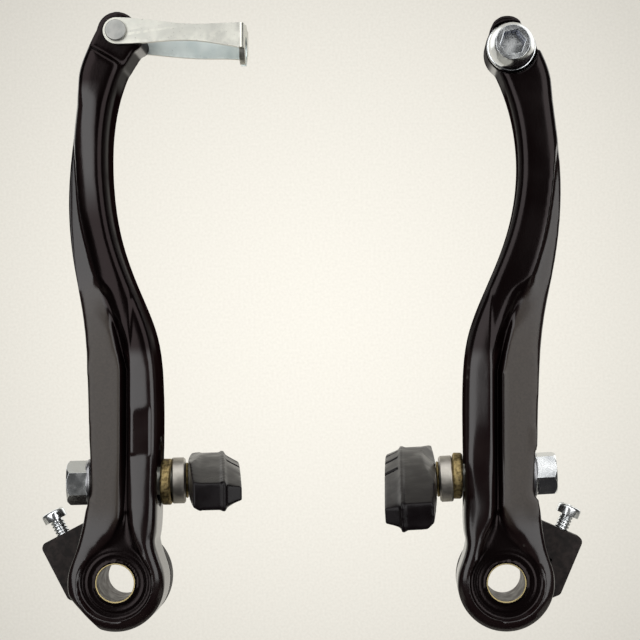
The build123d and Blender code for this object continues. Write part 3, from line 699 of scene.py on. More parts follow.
@dataclass(frozen=True)
class Skin:
    """An even finish: an uneven tone, small specks, fine relief and rubbed edges."""

    name: str
    high: tuple
    low: tuple
    speck_tone: tuple
    low_roughness: float
    high_roughness: float
    cloud: float
    speck: float
    share: float
    relief: float
    wear_end: float = 0.62
    wear_patch: float = 1.2
    rubbed: float = 1.12
    metallic: float = 1.0
    sheen: float = 0.5

    def build(self, grain: bpy.types.NodeTree, wear: bpy.types.NodeTree) -> bpy.types.Material:
        """Make the finish.

        Args:
            grain: The shared grain effect.
            wear: The shared edge wear effect.

        Returns:
            The material.
        """
        sheet = Sheet(self.name)
        skin = sheet.effect(grain, Cloud_Size=self.cloud, Speck_Size=self.speck, Speck_Share=self.share)
        edges = sheet.effect(wear, Start=0.52, End=self.wear_end, Patch_Size=self.wear_patch)
        colour = sheet.blend(skin["Cloud"], self.low, self.high)
        colour = sheet.blend(skin["Speck"], colour, self.speck_tone)
        rubbed = tuple(min(1.0, part * self.rubbed) for part in self.high)
        return sheet.close((skin["Height"], self.relief, 0.5), {
            "Base Color": sheet.blend(edges["Worn"], colour, rubbed),
            "Roughness": sheet.span(skin["Cloud"], self.low_roughness, self.high_roughness),
            "Metallic": self.metallic,
            "Specular IOR Level": self.sheen,
        })


# Rubber and plastic: rubbed edges turn pale, and nothing shines like metal.
MOULDED = {"wear_end": 0.64, "wear_patch": 1.5, "rubbed": 2.2, "metallic": 0.0}


@dataclass(frozen=True)
class Sleeve:
    """Thin brass tube: bright on its cut ends, dull and brown down its wall."""

    name: str = "yellow_brass"
    bright: tuple = (0.66, 0.54, 0.27)
    wall: tuple = (0.040, 0.029, 0.022)
    stain: tuple = (0.022, 0.016, 0.012)
    end_facing: tuple = (0.35, 0.7)
    roughness: tuple = (0.36, 0.52)
    relief: tuple = (0.01, 0.4)

    def build(self, grain: bpy.types.NodeTree, wear: bpy.types.NodeTree) -> bpy.types.Material:
        """Make the brass, which has no rubbed edges.

        Args:
            grain: The shared grain effect.
            wear: The shared edge wear effect, which isn't used here.

        Returns:
            The material.
        """
        sheet = Sheet(self.name)
        skin = sheet.effect(grain, Cloud_Size=2.0, Speck_Size=0.35, Speck_Share=0.3)
        facing = sheet.add("ShaderNodeSeparateXYZ", {0: sheet.place.node.outputs["Normal"]})
        forwards = work_out(sheet.tree, "ABSOLUTE", facing.outputs["Y"])
        end = stretch(sheet.tree, forwards, *self.end_facing, bend="LINEAR")
        wall = sheet.blend(skin["Cloud"], self.stain, self.wall)
        return sheet.close((skin["Height"], *self.relief), {
            "Base Color": sheet.blend(end, wall, self.bright),
            "Roughness": sheet.span(skin["Cloud"], *self.roughness),
            "Metallic": 1.0,
        })


FINISHES = (
    Lacquer(),
    Skin("zinc_plate", (0.67, 0.665, 0.60), (0.61, 0.61, 0.555), (0.26, 0.24, 0.20), 0.36, 0.46,
         5.0, 0.28, 0.45, 0.016),
    Skin("dull_zinc", (0.55, 0.52, 0.47), (0.43, 0.405, 0.36), (0.20, 0.19, 0.17), 0.42, 0.55,
         2.0, 0.30, 0.30, 0.015),
    Skin("worn_zinc", (0.40, 0.40, 0.38), (0.32, 0.325, 0.31), (0.20, 0.19, 0.17), 0.40, 0.50,
         2.0, 0.30, 0.20, 0.010),
    Skin("bright_zinc", (0.86, 0.88, 0.88), (0.74, 0.77, 0.79), (0.40, 0.40, 0.42), 0.16, 0.26,
         3.0, 0.30, 0.15, 0.004),
    Skin("blue_zinc", (0.70, 0.76, 0.75), (0.60, 0.68, 0.69), (0.34, 0.36, 0.36), 0.34, 0.44,
         6.0, 0.28, 0.30, 0.012),
    # Painted shade for the walls of the bolt's key socket, on a bluish plating tone.
    Skin("socket_zinc", (0.13, 0.15, 0.23), (0.06, 0.07, 0.13), (0.04, 0.04, 0.06), 0.14, 0.30,
         0.9, 0.25, 0.30, 0.020),
    Skin("yellow_zinc", (0.46, 0.36, 0.17), (0.14, 0.10, 0.042), (0.05, 0.035, 0.015), 0.42, 0.65,
         0.7, 0.30, 0.65, 0.06),
    Skin("spring_steel", (0.36, 0.36, 0.37), (0.24, 0.24, 0.25), (0.12, 0.11, 0.10), 0.25, 0.40,
         2.0, 0.40, 0.30, 0.010),
    Sleeve(),
    Skin("black_plastic", (0.0110, 0.0080, 0.0072), (0.0075, 0.0052, 0.0045), (0.03, 0.026, 0.022),
         0.46, 0.60, 4.0, 0.35, 0.16, 0.020, sheen=0.22, **MOULDED),
    Skin("pad_rubber", (0.0050, 0.0034, 0.0040), (0.0030, 0.0018, 0.0022), (0.020, 0.017, 0.015),
         0.27, 0.42, 5.0, 0.40, 0.16, 0.030, sheen=0.20, **MOULDED),
)


# Arms


@dataclass
class Arm:
    """A cast arm, its hard CAD edges drawn into the flowing forms of a casting."""

    side: Side
    facet_edge: tuple
    outer_edge: tuple
    inner_edge: tuple
    valley_gap: float
    crown: tuple
    rib_lean: tuple
    face_size: float = 0.36
    bore_radius: float = 4.33
    recess_floor: float = 16.15
    ring_radii: tuple = (6.1, 7.2)
    ring_width: float = 0.28
    ring_height: float = 0.10
    rim_crest: float = 17.9
    rim_radius: float = 8.2
    rim_width: float = 2.4
    rim_fall: float = 1.7
    valley_depth: float = 1.5
    valley_width: float = 0.62
    seat_height: float = 23.8
    seat_reach: float = 9.9
    bend_height: float = 60.5
    fork_inner: tuple = ((-7.0, 4.0), (-4.0, 9.9), (-3.0, 15.5), (-3.0, 20.0))
    fork_outer: tuple = ((7.0, 4.0), (1.1, 9.9), (-1.2, 15.5), (-1.2, 20.0))

    def soften(self, own: np.ndarray, edges: np.ndarray) -> np.ndarray:
        """Polish the whole skin a little, and the front's valley and recess more.

        Args:
            own: Places in the arm's own frame.
            edges: Vertex pairs.

        Returns:
            The new places.
        """
        own = relax(own, edges, np.ones(len(own)), 3)
        reach = np.hypot(own[:, 0], own[:, 2])
        front = smooth_step(-own[:, 1], 14.6, 16.2)
        bore = smooth_step(reach, 4.5, 5.4)
        head = 1.0 - smooth_step(own[:, 2], 104.0, 108.0)
        if self.side is Side.LEFT:
            step = smooth_step(-own[:, 1], 14.0, 16.0) * within(own[:, 2], 100.0, 104.0, 115.0, 117.0)
            own = relax(own, edges, step, 9)
        bowl = 1.0 - 0.9 * (1.0 - smooth_step(reach, 8.4, 9.6))
        own = relax(own, edges, front * bore * head * bowl, 6)
        flow = front * smooth_step(reach, 8.0, 8.8) * within(own[:, 2], -2.0, 5.0, 17.0, 30.0)
        own = relax(own, edges, flow, 22)
        own = relax(own, edges, front * within(own[:, 2], 46.0, 51.0, 61.0, 67.0), 26)
        aside = own[:, 0] - self.along(self.facet_edge, own[:, 2])
        away = np.hypot(aside, 0.6 * (own[:, 2] - self.bend_height))
        return relax(own, edges, front * (1.0 - smooth_step(away, 1.5, 3.6)), 90)

    def shape_front(self, own: np.ndarray) -> np.ndarray:
        """Add the front's low forms: rings in the recess, a round lower rim, the valley, rib and crown.

        Args:
            own: Places in the arm's own frame.

        Returns:
            The new places.
        """
        u, z = own[:, 0], own[:, 2]
        reach = np.hypot(u, z)
        front = smooth_step(-own[:, 1], 14.6, 16.4)
        floor = (1.0 - smooth_step(reach, 6.9, 7.5)) * smooth_step(-own[:, 1], 15.2, 16.0)
        rings = self.ring_height * sum(bell(reach, radius, self.ring_width) for radius in self.ring_radii)
        own[:, 1] += floor * (-self.recess_floor - rings - own[:, 1]) * (reach > 4.6)
        below = (1.0 - smooth_step(z, -5.0, 5.0)) * front * smooth_step(reach, 8.0, 8.4)
        fall = self.rim_fall * ((reach - self.rim_radius) / self.rim_width) ** 2
        own[:, 1] += below * (-self.rim_crest + fall - own[:, 1])
        valley = bell(u, self.along(self.facet_edge, z) - self.valley_gap, self.valley_width)
        own[:, 1] += front * within(z, 11.0, 31.0, 46.0, 64.0) * self.valley_depth * valley
        rib = smooth_step(-u, 3.0, 3.6) * front * within(z, 6.0, 18.0, 60.0, 66.0)
        if self.side is Side.LEFT:
            quiet = 1.5 * within(z, 27.6, 28.2, 36.5, 39.0) * (1.0 - smooth_step(np.abs(u + 5.3), 2.1, 2.5))
        else:
            quiet = bell(z, 26.0, 6.0)
        slope, middle = self.rib_lean
        own[:, 1] += rib * slope * (u - middle) * (1.0 - quiet)
        across = np.clip(self.across(u, z), -1.0, 1.0)
        top, outer_fall, inner_fall = self.crown
        fall = np.where(across > top, outer_fall, inner_fall) * (across - top) ** 2
        own[:, 1] += front * within(z, 58.0, 68.0, 103.0, 107.0) * (fall - 0.1)
        return own

    def across(self, u: np.ndarray, z: np.ndarray) -> np.ndarray:
        """Tell where places lie across the arm's inner bar.

        Args:
            u: Distances out.
            z: Heights.

        Returns:
            -1 at the bar's inner edge and 1 at the facet's edge.
        """
        inner, outer = self.along(self.inner_edge, z), self.along(self.facet_edge, z)
        return 2.0 * (u - inner) / (outer - inner) - 1.0

    def along(self, line: tuple, z: np.ndarray) -> np.ndarray:
        """How far out a line of the arm lies at each height.

        Args:
            line: The line's points, as distance out and height.
            z: Heights.

        Returns:
            The distances out.
        """
        return np.interp(z, [point[1] for point in line], [point[0] for point in line])

    def close_seat_rim(self, own: np.ndarray) -> np.ndarray:
        """Keep the outer edge whole ahead of the nut's seat.

        Args:
            own: Places in the arm's own frame.

        Returns:
            The new places.
        """
        u, y, z = own[:, 0], own[:, 1], own[:, 2]
        whole = self.along(self.outer_edge, z) - 0.15
        rim = (y < -16.2) & (u > 5.2) & (np.abs(z - self.seat_height) < self.seat_reach) & (u < whole)
        own[rim, 0] = whole[rim]
        own[rim, 1] = np.minimum(own[rim, 1], -16.5)
        return own

    def build(self, shop: Workshop) -> None:
        """Make the arm and hand it over.

        Args:
            shop: The workshop.
        """
        node = self.side.node("arm")
        piece = shop.copy_solid(node, self.side.node("cast_arm"))
        shop.remesh(piece, self.face_size)
        mesh = piece.data
        own = self.side.own(read_points(mesh))
        edges = read_edges(mesh)
        if self.side is Side.RIGHT:
            own = self.close_seat_rim(own)
        own = self.soften(own, edges)
        own = self.shape_front(own)
        reach = np.hypot(own[:, 0], own[:, 2])
        near = (reach < self.bore_radius) & (reach > 2.0)
        own[near, 0] *= self.bore_radius / reach[near]
        own[near, 2] *= self.bore_radius / reach[near]
        write_points(mesh, self.side.shared(own))
        self.mark_band(mesh, own)
        shade_smooth(mesh)
        shop.hand_over(piece, node)

    def mark_band(self, mesh: bpy.types.Mesh, own: np.ndarray) -> None:
        """Mark the broad outer flat, which is duller and carries painted sheen, the inner walls, which are
        duller than the rest, and the painted shade that darkens the hollows, the upper bars and the head.

        Args:
            mesh: The arm's mesh.
            own: Its places in the arm's own frame.
        """
        turned = np.empty(len(mesh.vertices) * 3)
        mesh.vertex_normals.foreach_get("vector", turned)
        normals = turned.reshape(-1, 3)
        u, ahead, z = own[:, 0], -own[:, 1], own[:, 2]
        edge = self.along(self.facet_edge, z)
        # The outer flat: rougher lacquer, with a paler painted sheen.
        band = smooth_step(u - edge, -0.1, 0.5) * smooth_step(-normals[:, 1], 0.80, 0.95)
        band *= smooth_step(ahead, 14.5, 16.5)
        band *= smooth_step(z, 10.0, 18.0) * (1.0 - 0.5 * smooth_step(z, 50.0, 66.0))
        fork = smooth_step(u - self.along(self.fork_inner, z), 0.0, 0.6)
        fork *= smooth_step(self.along(self.fork_outer, z) - u, 0.0, 0.6) * within(z, 3.0, 5.0, 16.0, 22.0)
        bowl = 1.0 - smooth_step(np.hypot(u, z), 7.6, 8.1)
        valley = bell(u, edge - self.valley_gap, 0.95, power=4) * within(z, 10.0, 16.0, 50.0, 70.0)
        across = self.across(u, z)
        lit = 0.15
        if self.side is Side.LEFT:
            lit = within(across, -0.5, -0.1, 0.5, 0.9) * within(z, 78.0, 90.0, 107.0, 109.0)
        bar = smooth_step(z, 48.5, 51.5) * within(across, -1.1, -0.92, 0.85, 1.05) * (1.0 - lit)
        # Painted shade in the fork, the bowl and the valley, and across the upper bars, where it dims their
        # reflection.
        dark = np.maximum.reduce((0.72 * fork, 0.72 * bowl, 0.8 * valley, 0.78 * bar))
        # Painted shade on the head, below the bracket.
        head = 0.7 * smooth_step(z, 106.0, 109.0) * smooth_step(ahead, 6.0, 10.0)
        hollow = np.maximum(dark * smooth_step(ahead, 13.0, 15.0), head)
        add_weights(mesh, "hollow", hollow)
        add_weights(mesh, "dull_band", band * (1.0 - hollow))
        inward = normals[:, 0] if self.side is Side.LEFT else -normals[:, 0]
        add_weights(mesh, "side_skin", smooth_step(inward, 0.65, 0.9) * smooth_step(z, 14.0, 26.0))


# Pads and their hardware


@dataclass
class BrakePad:
    """A moulded rubber block with a parting ridge, and the hardware that clamps it."""

    side: Side
    stud_middle: tuple
    tilt: tuple
    face_size: float = 0.27
    back: float = -13.9
    back_bevel: float = 3.0
    ridge: float = -21.4
    nose: float = 3.6
    draw_in: float = 0.26
    half_height: float = 5.6
    back_cut: float = 2.7
    fill: float = 1.8

    def shape_block(self, own: np.ndarray) -> np.ndarray:
        """Fill the block's back corners and draw in its braking face, as the moulding does.

        Args:
            own: Places in the arm's own frame.

        Returns:
            The new places.
        """
        turn = Matrix.Identity(3)
        for angle, axis in zip(self.tilt, "XYZ"):
            turn = turn @ Matrix.Rotation(math.radians(angle), 3, axis)
        turn = np.array(turn)
        local = (own - np.array(self.stud_middle)) @ turn
        bevel = np.clip((local[:, 0] - self.back + self.back_bevel) / self.back_bevel, 0.0, 1.0)
        nose = np.clip((self.ridge - local[:, 0]) / self.nose, 0.0, 1.0)
        before = self.half_height - self.back_cut * bevel
        local[:, 2] *= (before + self.fill * bevel) / before * (1.0 - self.draw_in * nose)
        return local @ turn.T + np.array(self.stud_middle)

    def build(self, shop: Workshop) -> None:
        """Make the pad and its stack of washers, nut and stud.

        Args:
            shop: The workshop.
        """
        node = self.side.node("brake_pad")
        block = shop.copy_solid(node, self.side.node("rubber_block"))
        shop.remesh(block, self.face_size)
        mesh = block.data
        own = self.side.own(read_points(mesh))
        own = relax(own, read_edges(mesh), np.ones(len(own)), 3)
        write_points(mesh, self.side.shared(self.shape_block(own)))
        shade_smooth(mesh)
        shop.hand_over(block, node)
        for piece, width, finish in (
            ("gold_washer", 0.45, "yellow_zinc"),
            ("cup_washer", 0.35, "dull_zinc"),
            ("inner_washer", 0.25, "yellow_zinc"),
            # Painted shade: the outer washer takes the grey spring-steel finish instead of its own yellow
            # zinc, so that it reads as in shadow.
            ("outer_washer", 0.20, "spring_steel"),
            ("pad_nut", 0.30, "bright_zinc"),
        ):
            node = self.side.node(piece)
            shop.dress_solid(node, node + "_dressed", width, finish)
        shop.dress_node(self.side.node("pad_stud"))


# Pivot, spring cover and tension screw


@dataclass
class ScrewThread:
    """A cut thread that winds along a screw's shank."""

    crest: float
    pitch: float
    length: float
    rib_share: float = 0.42
    steps: int = 22
    corners: int = 6

    def tree(self, finish: bpy.types.Material) -> bpy.types.NodeTree:
        """Make the node tree that winds the thread.

        Args:
            finish: What the thread is made of.

        Returns:
            The tree, with named inputs for its sizes.
        """
        tree = bpy.data.node_groups.new("screw_thread", "GeometryNodeTree")
        tree.interface.new_socket("Geometry", in_out="OUTPUT", socket_type="NodeSocketGeometry")
        for key in ("Crest Radius", "Pitch", "Length"):
            tree.interface.new_socket(key, in_out="INPUT", socket_type="NodeSocketFloat")
        given = tree.nodes.new("NodeGroupInput").outputs
        rib = work_out(tree, "MULTIPLY", given["Pitch"], self.rib_share)
        middle = work_out(tree, "SUBTRACT", given["Crest Radius"], rib)
        coil = add_node(tree, "GeometryNodeCurveSpiral", {
            "Resolution": self.steps,
            "Rotations": work_out(tree, "DIVIDE", given["Length"], given["Pitch"]),
            "Start Radius": middle,
            "End Radius": middle,
            "Height": given["Length"],
        })
        profile = add_node(
            tree, "GeometryNodeCurvePrimitiveCircle", {"Resolution": self.corners, "Radius": rib}
        )
        feeds = {"Curve": coil.outputs[0], "Profile Curve": profile.outputs[0], "Fill Caps": True}
        sweep = add_node(tree, "GeometryNodeCurveToMesh", feeds)
        real = add_node(tree, "GeometryNodeRealizeInstances", {0: sweep.outputs[0]})
        coat = add_node(tree, "GeometryNodeSetMaterial", {"Geometry": real.outputs[0], "Material": finish})
        feed(tree, tree.nodes.new("NodeGroupOutput"), {0: coat.outputs[0]})
        return tree

    def wind(self, shop: Workshop, start: Vector, axis: Vector, name: str) -> bpy.types.Object:
        """Wind the thread and put it on its axis.

        Args:
            shop: The workshop.
            start: Where the thread starts, in metres.
            axis: Which way it goes.
            name: Name of the piece.

        Returns:
            The thread as a plain mesh.
        """
        piece = bpy.data.objects.new(name, bpy.data.meshes.new(name))
        bpy.context.scene.collection.objects.link(piece)
        finish = shop.finishes["bright_zinc"]
        modifier = piece.modifiers.new("thread", "NODES")
        modifier.node_group = self.tree(finish)
        sizes = {"Crest Radius": self.crest * MM, "Pitch": self.pitch * MM, "Length": self.length * MM}
        for socket in modifier.node_group.interface.items_tree:
            if socket.in_out == "INPUT":
                modifier[socket.identifier] = sizes[socket.name]
        shop.settle(piece)
        turn = axis.to_track_quat("Z", "Y").to_matrix().to_4x4()
        piece.data.transform(Matrix.Translation(start) @ turn)
        shade_smooth(piece.data)
        return piece


@dataclass
class PivotSet:
    """Sleeve, spring cover with its ear, locating pin, spring and tension screw of one pivot."""

    side: Side
    screw_axis: tuple
    head_height: float = 2.2
    shank_radius: float = 1.66
    root_radius: float = 1.3
    crest_radius: float = 1.62
    pitch: float = 0.72
    end_gap: float = 0.25

    def build(self, shop: Workshop) -> None:
        """Dress the fixed pieces and make the screw.

        Args:
            shop: The workshop.
        """
        cover = self.side.node("spring_cover")
        shop.dress_solid(cover, cover + "_dressed", 0.35)
        for piece in ("pivot_sleeve", "locating_pin", "return_spring"):
            shop.dress_node(self.side.node(piece))
        self.screw(shop)

    def screw(self, shop: Workshop) -> None:
        """Make the tension screw: its slotted head, a thinner core and the thread round it.

        Args:
            shop: The workshop.
        """
        node = self.side.node("tension_screw")
        piece = shop.copy_solid(node, node + "_dressed")
        points = read_points(piece.data)
        axis = np.array(self.screw_axis)
        axis = axis / np.linalg.norm(axis)
        along = points @ axis
        rim = points[along < along.min() + 0.3 * MM]
        foot = (rim.min(axis=0) + rim.max(axis=0)) / 2
        away = points - foot
        length = away @ axis
        spread = away - length[:, None] * axis
        reach = np.linalg.norm(spread, axis=1)
        shank = reach < 1.05 * self.shank_radius * MM
        shank &= length < length.max() - 0.96 * self.head_height * MM
        points[shank] -= spread[shank] * (1.0 - self.root_radius / self.shank_radius)
        write_points(piece.data, points)
        shop.soften_edges(piece, 0.35)
        run = length.max() / MM - self.head_height - 2.0 * self.end_gap
        thread = ScrewThread(self.crest_radius, self.pitch, run)
        start = Vector(foot + axis * self.end_gap * MM)
        coil = thread.wind(shop, start, Vector(axis), self.side.node("screw_thread"))
        shop.hand_over(piece, node, "bright_zinc")
        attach(coil, body_of(shop.nodes[node])[0])


# Heads


@dataclass
class CableLink:
    """The folded bracket that holds the cable guide, and its rivet."""

    edge: float = 0.28

    def build(self, shop: Workshop) -> None:
        """Dress the bracket and the rivet.

        Args:
            shop: The workshop.
        """
        link = shop.dress_solid("cable_link", "folded_bracket", self.edge)
        depths = [vertex.co.y for vertex in link.data.vertices]
        middle = (min(depths) + max(depths)) / 2
        shop.tint(link, "blue_zinc", lambda face: face.center.y > middle and face.normal.y < -0.3)
        shop.dress_solid("link_rivet", "bracket_rivet", 0.3, "worn_zinc")


@dataclass
class CableAnchor:
    """The socket-head clamping bolt and its washer."""

    axis: tuple = (43.4, 116.2)
    socket_radius: float = 3.05
    socket_bevel: float = 0.28

    def build(self, shop: Workshop) -> None:
        """Dress the bolt and the washer.

        Args:
            shop: The workshop.
        """
        bolt = shop.dress_solid("anchor_bolt", "clamp_bolt", 0.12, "bright_zinc")
        self.shade_socket(bolt, shop)
        shop.dress_solid("anchor_washer", "clamp_washer", 0.25, "bright_zinc")

    def shade_socket(self, bolt: bpy.types.Object, shop: Workshop) -> None:
        """Give the walls of the key's socket a darker, bluish finish: painted shade in the socket, on the
        plating's bluish tone.

        Args:
            bolt: The dressed bolt.
            shop: The workshop.
        """
        top = min(vertex.co.y for vertex in bolt.data.vertices) + self.socket_bevel * MM

        def is_wall(face: bpy.types.MeshPolygon) -> bool:
            """Tell a wall of the socket from the other faces.

            Args:
                face: A face of the bolt.

            Returns:
                Whether it is a wall.
            """
            away = math.hypot(face.center.x - self.axis[0] * MM, face.center.z - self.axis[1] * MM)
            return away < self.socket_radius * MM and face.center.y > top and abs(face.normal.y) < 0.6

        # Painted shade on the socket's walls.
        shop.tint(bolt, "socket_zinc", is_wall)


# Setting


@dataclass
class Lamp:
    """One soft rectangular lamp that points at the brake."""

    name: str
    across: float
    up: float
    distance: float
    width: float
    height: float
    power: float

    def place(self, target: Vector) -> None:
        """Put the lamp round the target.

        Args:
            target: The place that it points at.
        """
        data = bpy.data.lights.new(self.name, "AREA")
        data.shape = "RECTANGLE"
        data.size = self.width
        data.size_y = self.height
        data.energy = self.power
        lamp = bpy.data.objects.new(self.name, data)
        bpy.context.scene.collection.objects.link(lamp)
        across, up = math.radians(self.across), math.radians(self.up)
        way = Vector((math.sin(across) * math.cos(up), -math.cos(across) * math.cos(up), math.sin(up)))
        lamp.location = target + way * self.distance
        lamp.rotation_euler = way.to_track_quat("Z", "Y").to_euler()


LAMPS = (
    Lamp("left_softbox", -37.5, 12.0, 0.75, 0.64, 0.80, 3.9),
    Lamp("right_softbox", 37.5, 12.0, 0.75, 0.64, 0.80, 3.9),
    Lamp("top_softbox", 0.0, 60.0, 0.70, 0.80, 0.50, 2.2),
    Lamp("back_left", -140.0, 25.0, 0.80, 0.50, 0.60, 0.7),
    Lamp("back_right", 140.0, 25.0, 0.80, 0.50, 0.60, 0.7),
)


@dataclass
class Studio:
    """The pale sheet behind, the floor far below, the lamps and the camera."""

    view_distance: float = 418.5 * MM
    view_x: float = 19.24 * MM
    view_z: float = 46.22 * MM
    lens: float = 104.278
    turn_left: float = math.radians(-0.29)
    turn_up: float = math.radians(0.832)
    shift_x: float = -0.13968
    shift_y: float = 0.0351
    cream: tuple = (0.985, 0.950, 0.862)
    wall_y: float = 0.7
    wall_middle: tuple = (-0.029, 0.076)
    fade_radius: float = 0.2664
    fade_share: float = 0.297
    floor_z: float = -0.30
    room_light: float = 0.055
    fibre_scale: float = 650.0
    card_reach: float = 0.42
    card_side: float = 0.15
    card_z: float = -0.12

    def dark_card(self) -> None:
        """Lay a dark card below and ahead, out of view, for the polished metal to reflect."""
        material = bpy.data.materials.new("dark_card")
        material.use_nodes = True
        shader = material.node_tree.nodes["Principled BSDF"]
        shader.inputs["Base Color"].default_value = (0.012, 0.010, 0.012, 1.0)
        shader.inputs["Roughness"].default_value = 0.9
        side, front, z = self.card_side, -self.card_reach, self.card_z
        corners = [(-side, front, z), (side, front, z), (side, 0.0, z), (-side, 0.0, z)]
        card = self.panel("dark_card", corners, material)
        card.visible_camera = card.visible_diffuse = card.visible_shadow = False

    def camera(self) -> None:
        """Place the camera at the photograph's viewing point."""
        data = bpy.data.cameras.new("camera")
        data.lens = self.lens
        data.sensor_width = 36.0
        data.clip_start = 0.01
        data.shift_x = self.shift_x
        data.shift_y = self.shift_y
        camera = bpy.data.objects.new("camera", data)
        bpy.context.scene.collection.objects.link(camera)
        camera.location = (self.view_x, -self.view_distance, self.view_z)
        camera.rotation_euler = (math.pi / 2 + self.turn_up, 0, self.turn_left)
        bpy.context.scene.camera = camera

    def plain_paper(self, name: str) -> bpy.types.Material:
        """Make cream paper that the lamps light.

        Args:
            name: Name of the material.

        Returns:
            The material.
        """
        sheet = Sheet(name)
        tone = sheet.blend(self.fibre(sheet), (0.62, 0.60, 0.54), (0.70, 0.68, 0.62))
        feed(sheet.tree, sheet.shader, {"Base Color": tone, "Roughness": 0.9})
        return sheet.material

    def fibre(self, sheet: Sheet) -> bpy.types.NodeSocket:
        """Make a paper's fibre.

        Args:
            sheet: The paper's material.

        Returns:
            The fibre, as numbers.
        """
        feeds = {"Vector": sheet.place, "Scale": self.fibre_scale}
        return sheet.add("ShaderNodeTexNoise", feeds).outputs["Fac"]

    def paper(self, name: str) -> bpy.types.Material:
        """Make cream paper that glows with its own tone, with painted shade that darkens it far from its
        middle.

        Only the camera and reflections see that tone. The lamps light the rest.

        Args:
            name: Name of the material.

        Returns:
            The material.
        """
        sheet = Sheet(name)
        tree = sheet.tree
        # Painted shade: the glow falls off away from the sheet's middle.
        feeds = {0: sheet.place, 1: (self.wall_middle[0], self.wall_y, self.wall_middle[1])}
        apart = sheet.add("ShaderNodeVectorMath", feeds, operation="DISTANCE").outputs["Value"]
        reach = stretch(tree, apart, 0.0, self.fade_radius, bend="LINEAR")
        fade = sheet.span(work_out(tree, "POWER", reach, 1.6), 1.0, 1.0 - self.fade_share)
        share = work_out(tree, "MULTIPLY", fade, sheet.span(self.fibre(sheet), 0.92, 1.08))
        shade = sheet.add("ShaderNodeVectorMath", {0: self.cream, "Scale": share}, operation="SCALE")
        glow = sheet.add("ShaderNodeEmission", {"Color": shade.outputs[0]})
        feed(tree, sheet.shader, {"Base Color": (0.84, 0.82, 0.76, 1), "Roughness": 0.9})
        rays = sheet.add("ShaderNodeLightPath", {}).outputs
        seen = work_out(tree, "MAXIMUM", rays["Is Camera Ray"], rays["Is Glossy Ray"])
        clear = work_out(tree, "MAXIMUM", seen, rays["Is Transmission Ray"])
        feeds = {0: clear, 1: sheet.shader.outputs[0], 2: glow.outputs[0]}
        mix = sheet.add("ShaderNodeMixShader", feeds)
        feed(tree, tree.nodes["Material Output"], {"Surface": mix.outputs[0]})
        return sheet.material

    def panel(self, name: str, corners: list, material: bpy.types.Material) -> bpy.types.Object:
        """Add one flat panel of the setting.

        Args:
            name: Name of the panel.
            corners: Its four corners in metres.
            material: What it is made of.

        Returns:
            The panel.
        """
        mesh = bpy.data.meshes.new(name)
        mesh.from_pydata(corners, [], [(0, 1, 2, 3)])
        mesh.materials.append(material)
        panel = bpy.data.objects.new(name, mesh)
        bpy.context.scene.collection.objects.link(panel)
        return panel

    def room(self) -> None:
        """Hang the sheet, lay the floor, and light the room."""
        y, z = self.wall_y, self.floor_z
        wall = [(-1.0, y, z), (1.0, y, z), (1.0, y, z + 2.0), (-1.0, y, z + 2.0)]
        floor = [(-1.0, y - 0.85, z), (1.0, y - 0.85, z), (1.0, y, z), (-1.0, y, z)]
        self.panel("backdrop", wall, self.paper("cream_sheet"))
        self.panel("floor", floor, self.plain_paper("cream_floor"))
        for lamp in LAMPS:
            lamp.place(Vector((0.0, -0.01, 0.055)))
        world = bpy.data.worlds.new("pale_room")
        bpy.context.scene.world = world
        world.use_nodes = True
        tree = world.node_tree
        quiet = tree.nodes["Background"]
        feed(tree, quiet, {"Color": (1.0, 0.98, 0.95, 1), "Strength": self.room_light})
        seen = add_node(tree, "ShaderNodeBackground", {"Color": (*(0.72 * part for part in self.cream), 1)})
        direct = add_node(tree, "ShaderNodeLightPath", {}).outputs["Is Camera Ray"]
        mix = add_node(tree, "ShaderNodeMixShader", {0: direct, 1: quiet.outputs[0], 2: seen.outputs[0]})
        feed(tree, tree.nodes["World Output"], {"Surface": mix.outputs[0]})
        bpy.context.scene.view_settings.view_transform = "Standard"


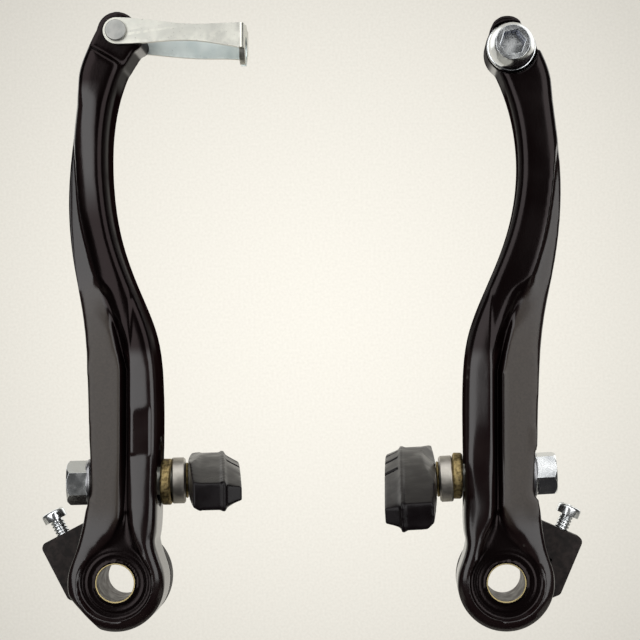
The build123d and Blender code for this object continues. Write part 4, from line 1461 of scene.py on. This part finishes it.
ARMS = (
    Arm(
        Side.LEFT,
        facet_edge=(
            (-1.3, 15.0), (-1.3, 46.0), (1.5, 57.8), (4.9, 67.2), (8.2, 80.8), (9.5, 95.0), (12.0, 110.0),
        ),
        outer_edge=((6.9, 14.5), (6.2, 20.0), (5.9, 27.0), (6.0, 35.0), (6.2, 42.5)),
        inner_edge=(
            (-9.1, 42.4), (-7.8, 53.1), (-3.7, 63.8), (0.1, 74.5), (2.1, 88.0), (1.7, 98.0), (0.2, 107.5),
        ),
        valley_gap=0.85,
        crown=(-0.45, 0.92, 0.3),
        rib_lean=(0.10, -5.4),
    ),
    Arm(
        Side.RIGHT,
        facet_edge=(
            (-0.8, 15.0), (-0.8, 46.0), (1.9, 57.8), (6.0, 67.2), (9.5, 80.8), (11.0, 95.0), (13.0, 110.0),
        ),
        outer_edge=((7.6, 14.5), (7.15, 20.0), (6.85, 27.0), (6.9, 35.0), (7.1, 42.5)),
        inner_edge=(
            (-9.2, 42.4), (-8.1, 53.1), (-4.2, 63.8), (0.1, 74.5), (2.7, 88.0), (2.0, 98.0), (-0.2, 107.5),
        ),
        valley_gap=1.0,
        crown=(0.0, 0.0, 0.15),
        rib_lean=(-0.17, -4.2),
    ),
)


PADS = (
    BrakePad(Side.LEFT, stud_middle=(-1.2, -11.4, 21.6), tilt=(0.4, 1.0, -6.0)),
    BrakePad(Side.RIGHT, stud_middle=(-1.2, -11.4, 22.9), tilt=(8.0, -3.2, 0.0), draw_in=0.16, fill=0.3),
)


def main() -> None:
    """Build the whole scene in order."""
    logging.basicConfig(level=logging.INFO, format="%(message)s")
    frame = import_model()
    grain, wear = make_grain_effect(), make_wear_effect()
    finishes = {finish.name: finish.build(grain, wear) for finish in FINISHES}
    slots = {row["node"]: row["material_slot"] for row in frame["record"]["subparts"]}
    axes = {joint["name"]: joint["axis"] for joint in frame["joints"]}
    studio = Studio()
    studio.camera()
    studio.room()
    studio.dark_card()
    shop = Workshop(frame["nodes"], slots, finishes)
    for arm, pad in zip(ARMS, PADS):
        arm.build(shop)
        pad.build(shop)
        PivotSet(arm.side, axes[arm.side.node("screw_travel")]).build(shop)
    CableLink().build(shop)
    CableAnchor().build(shop)


if __name__ == "__main__":
    main()
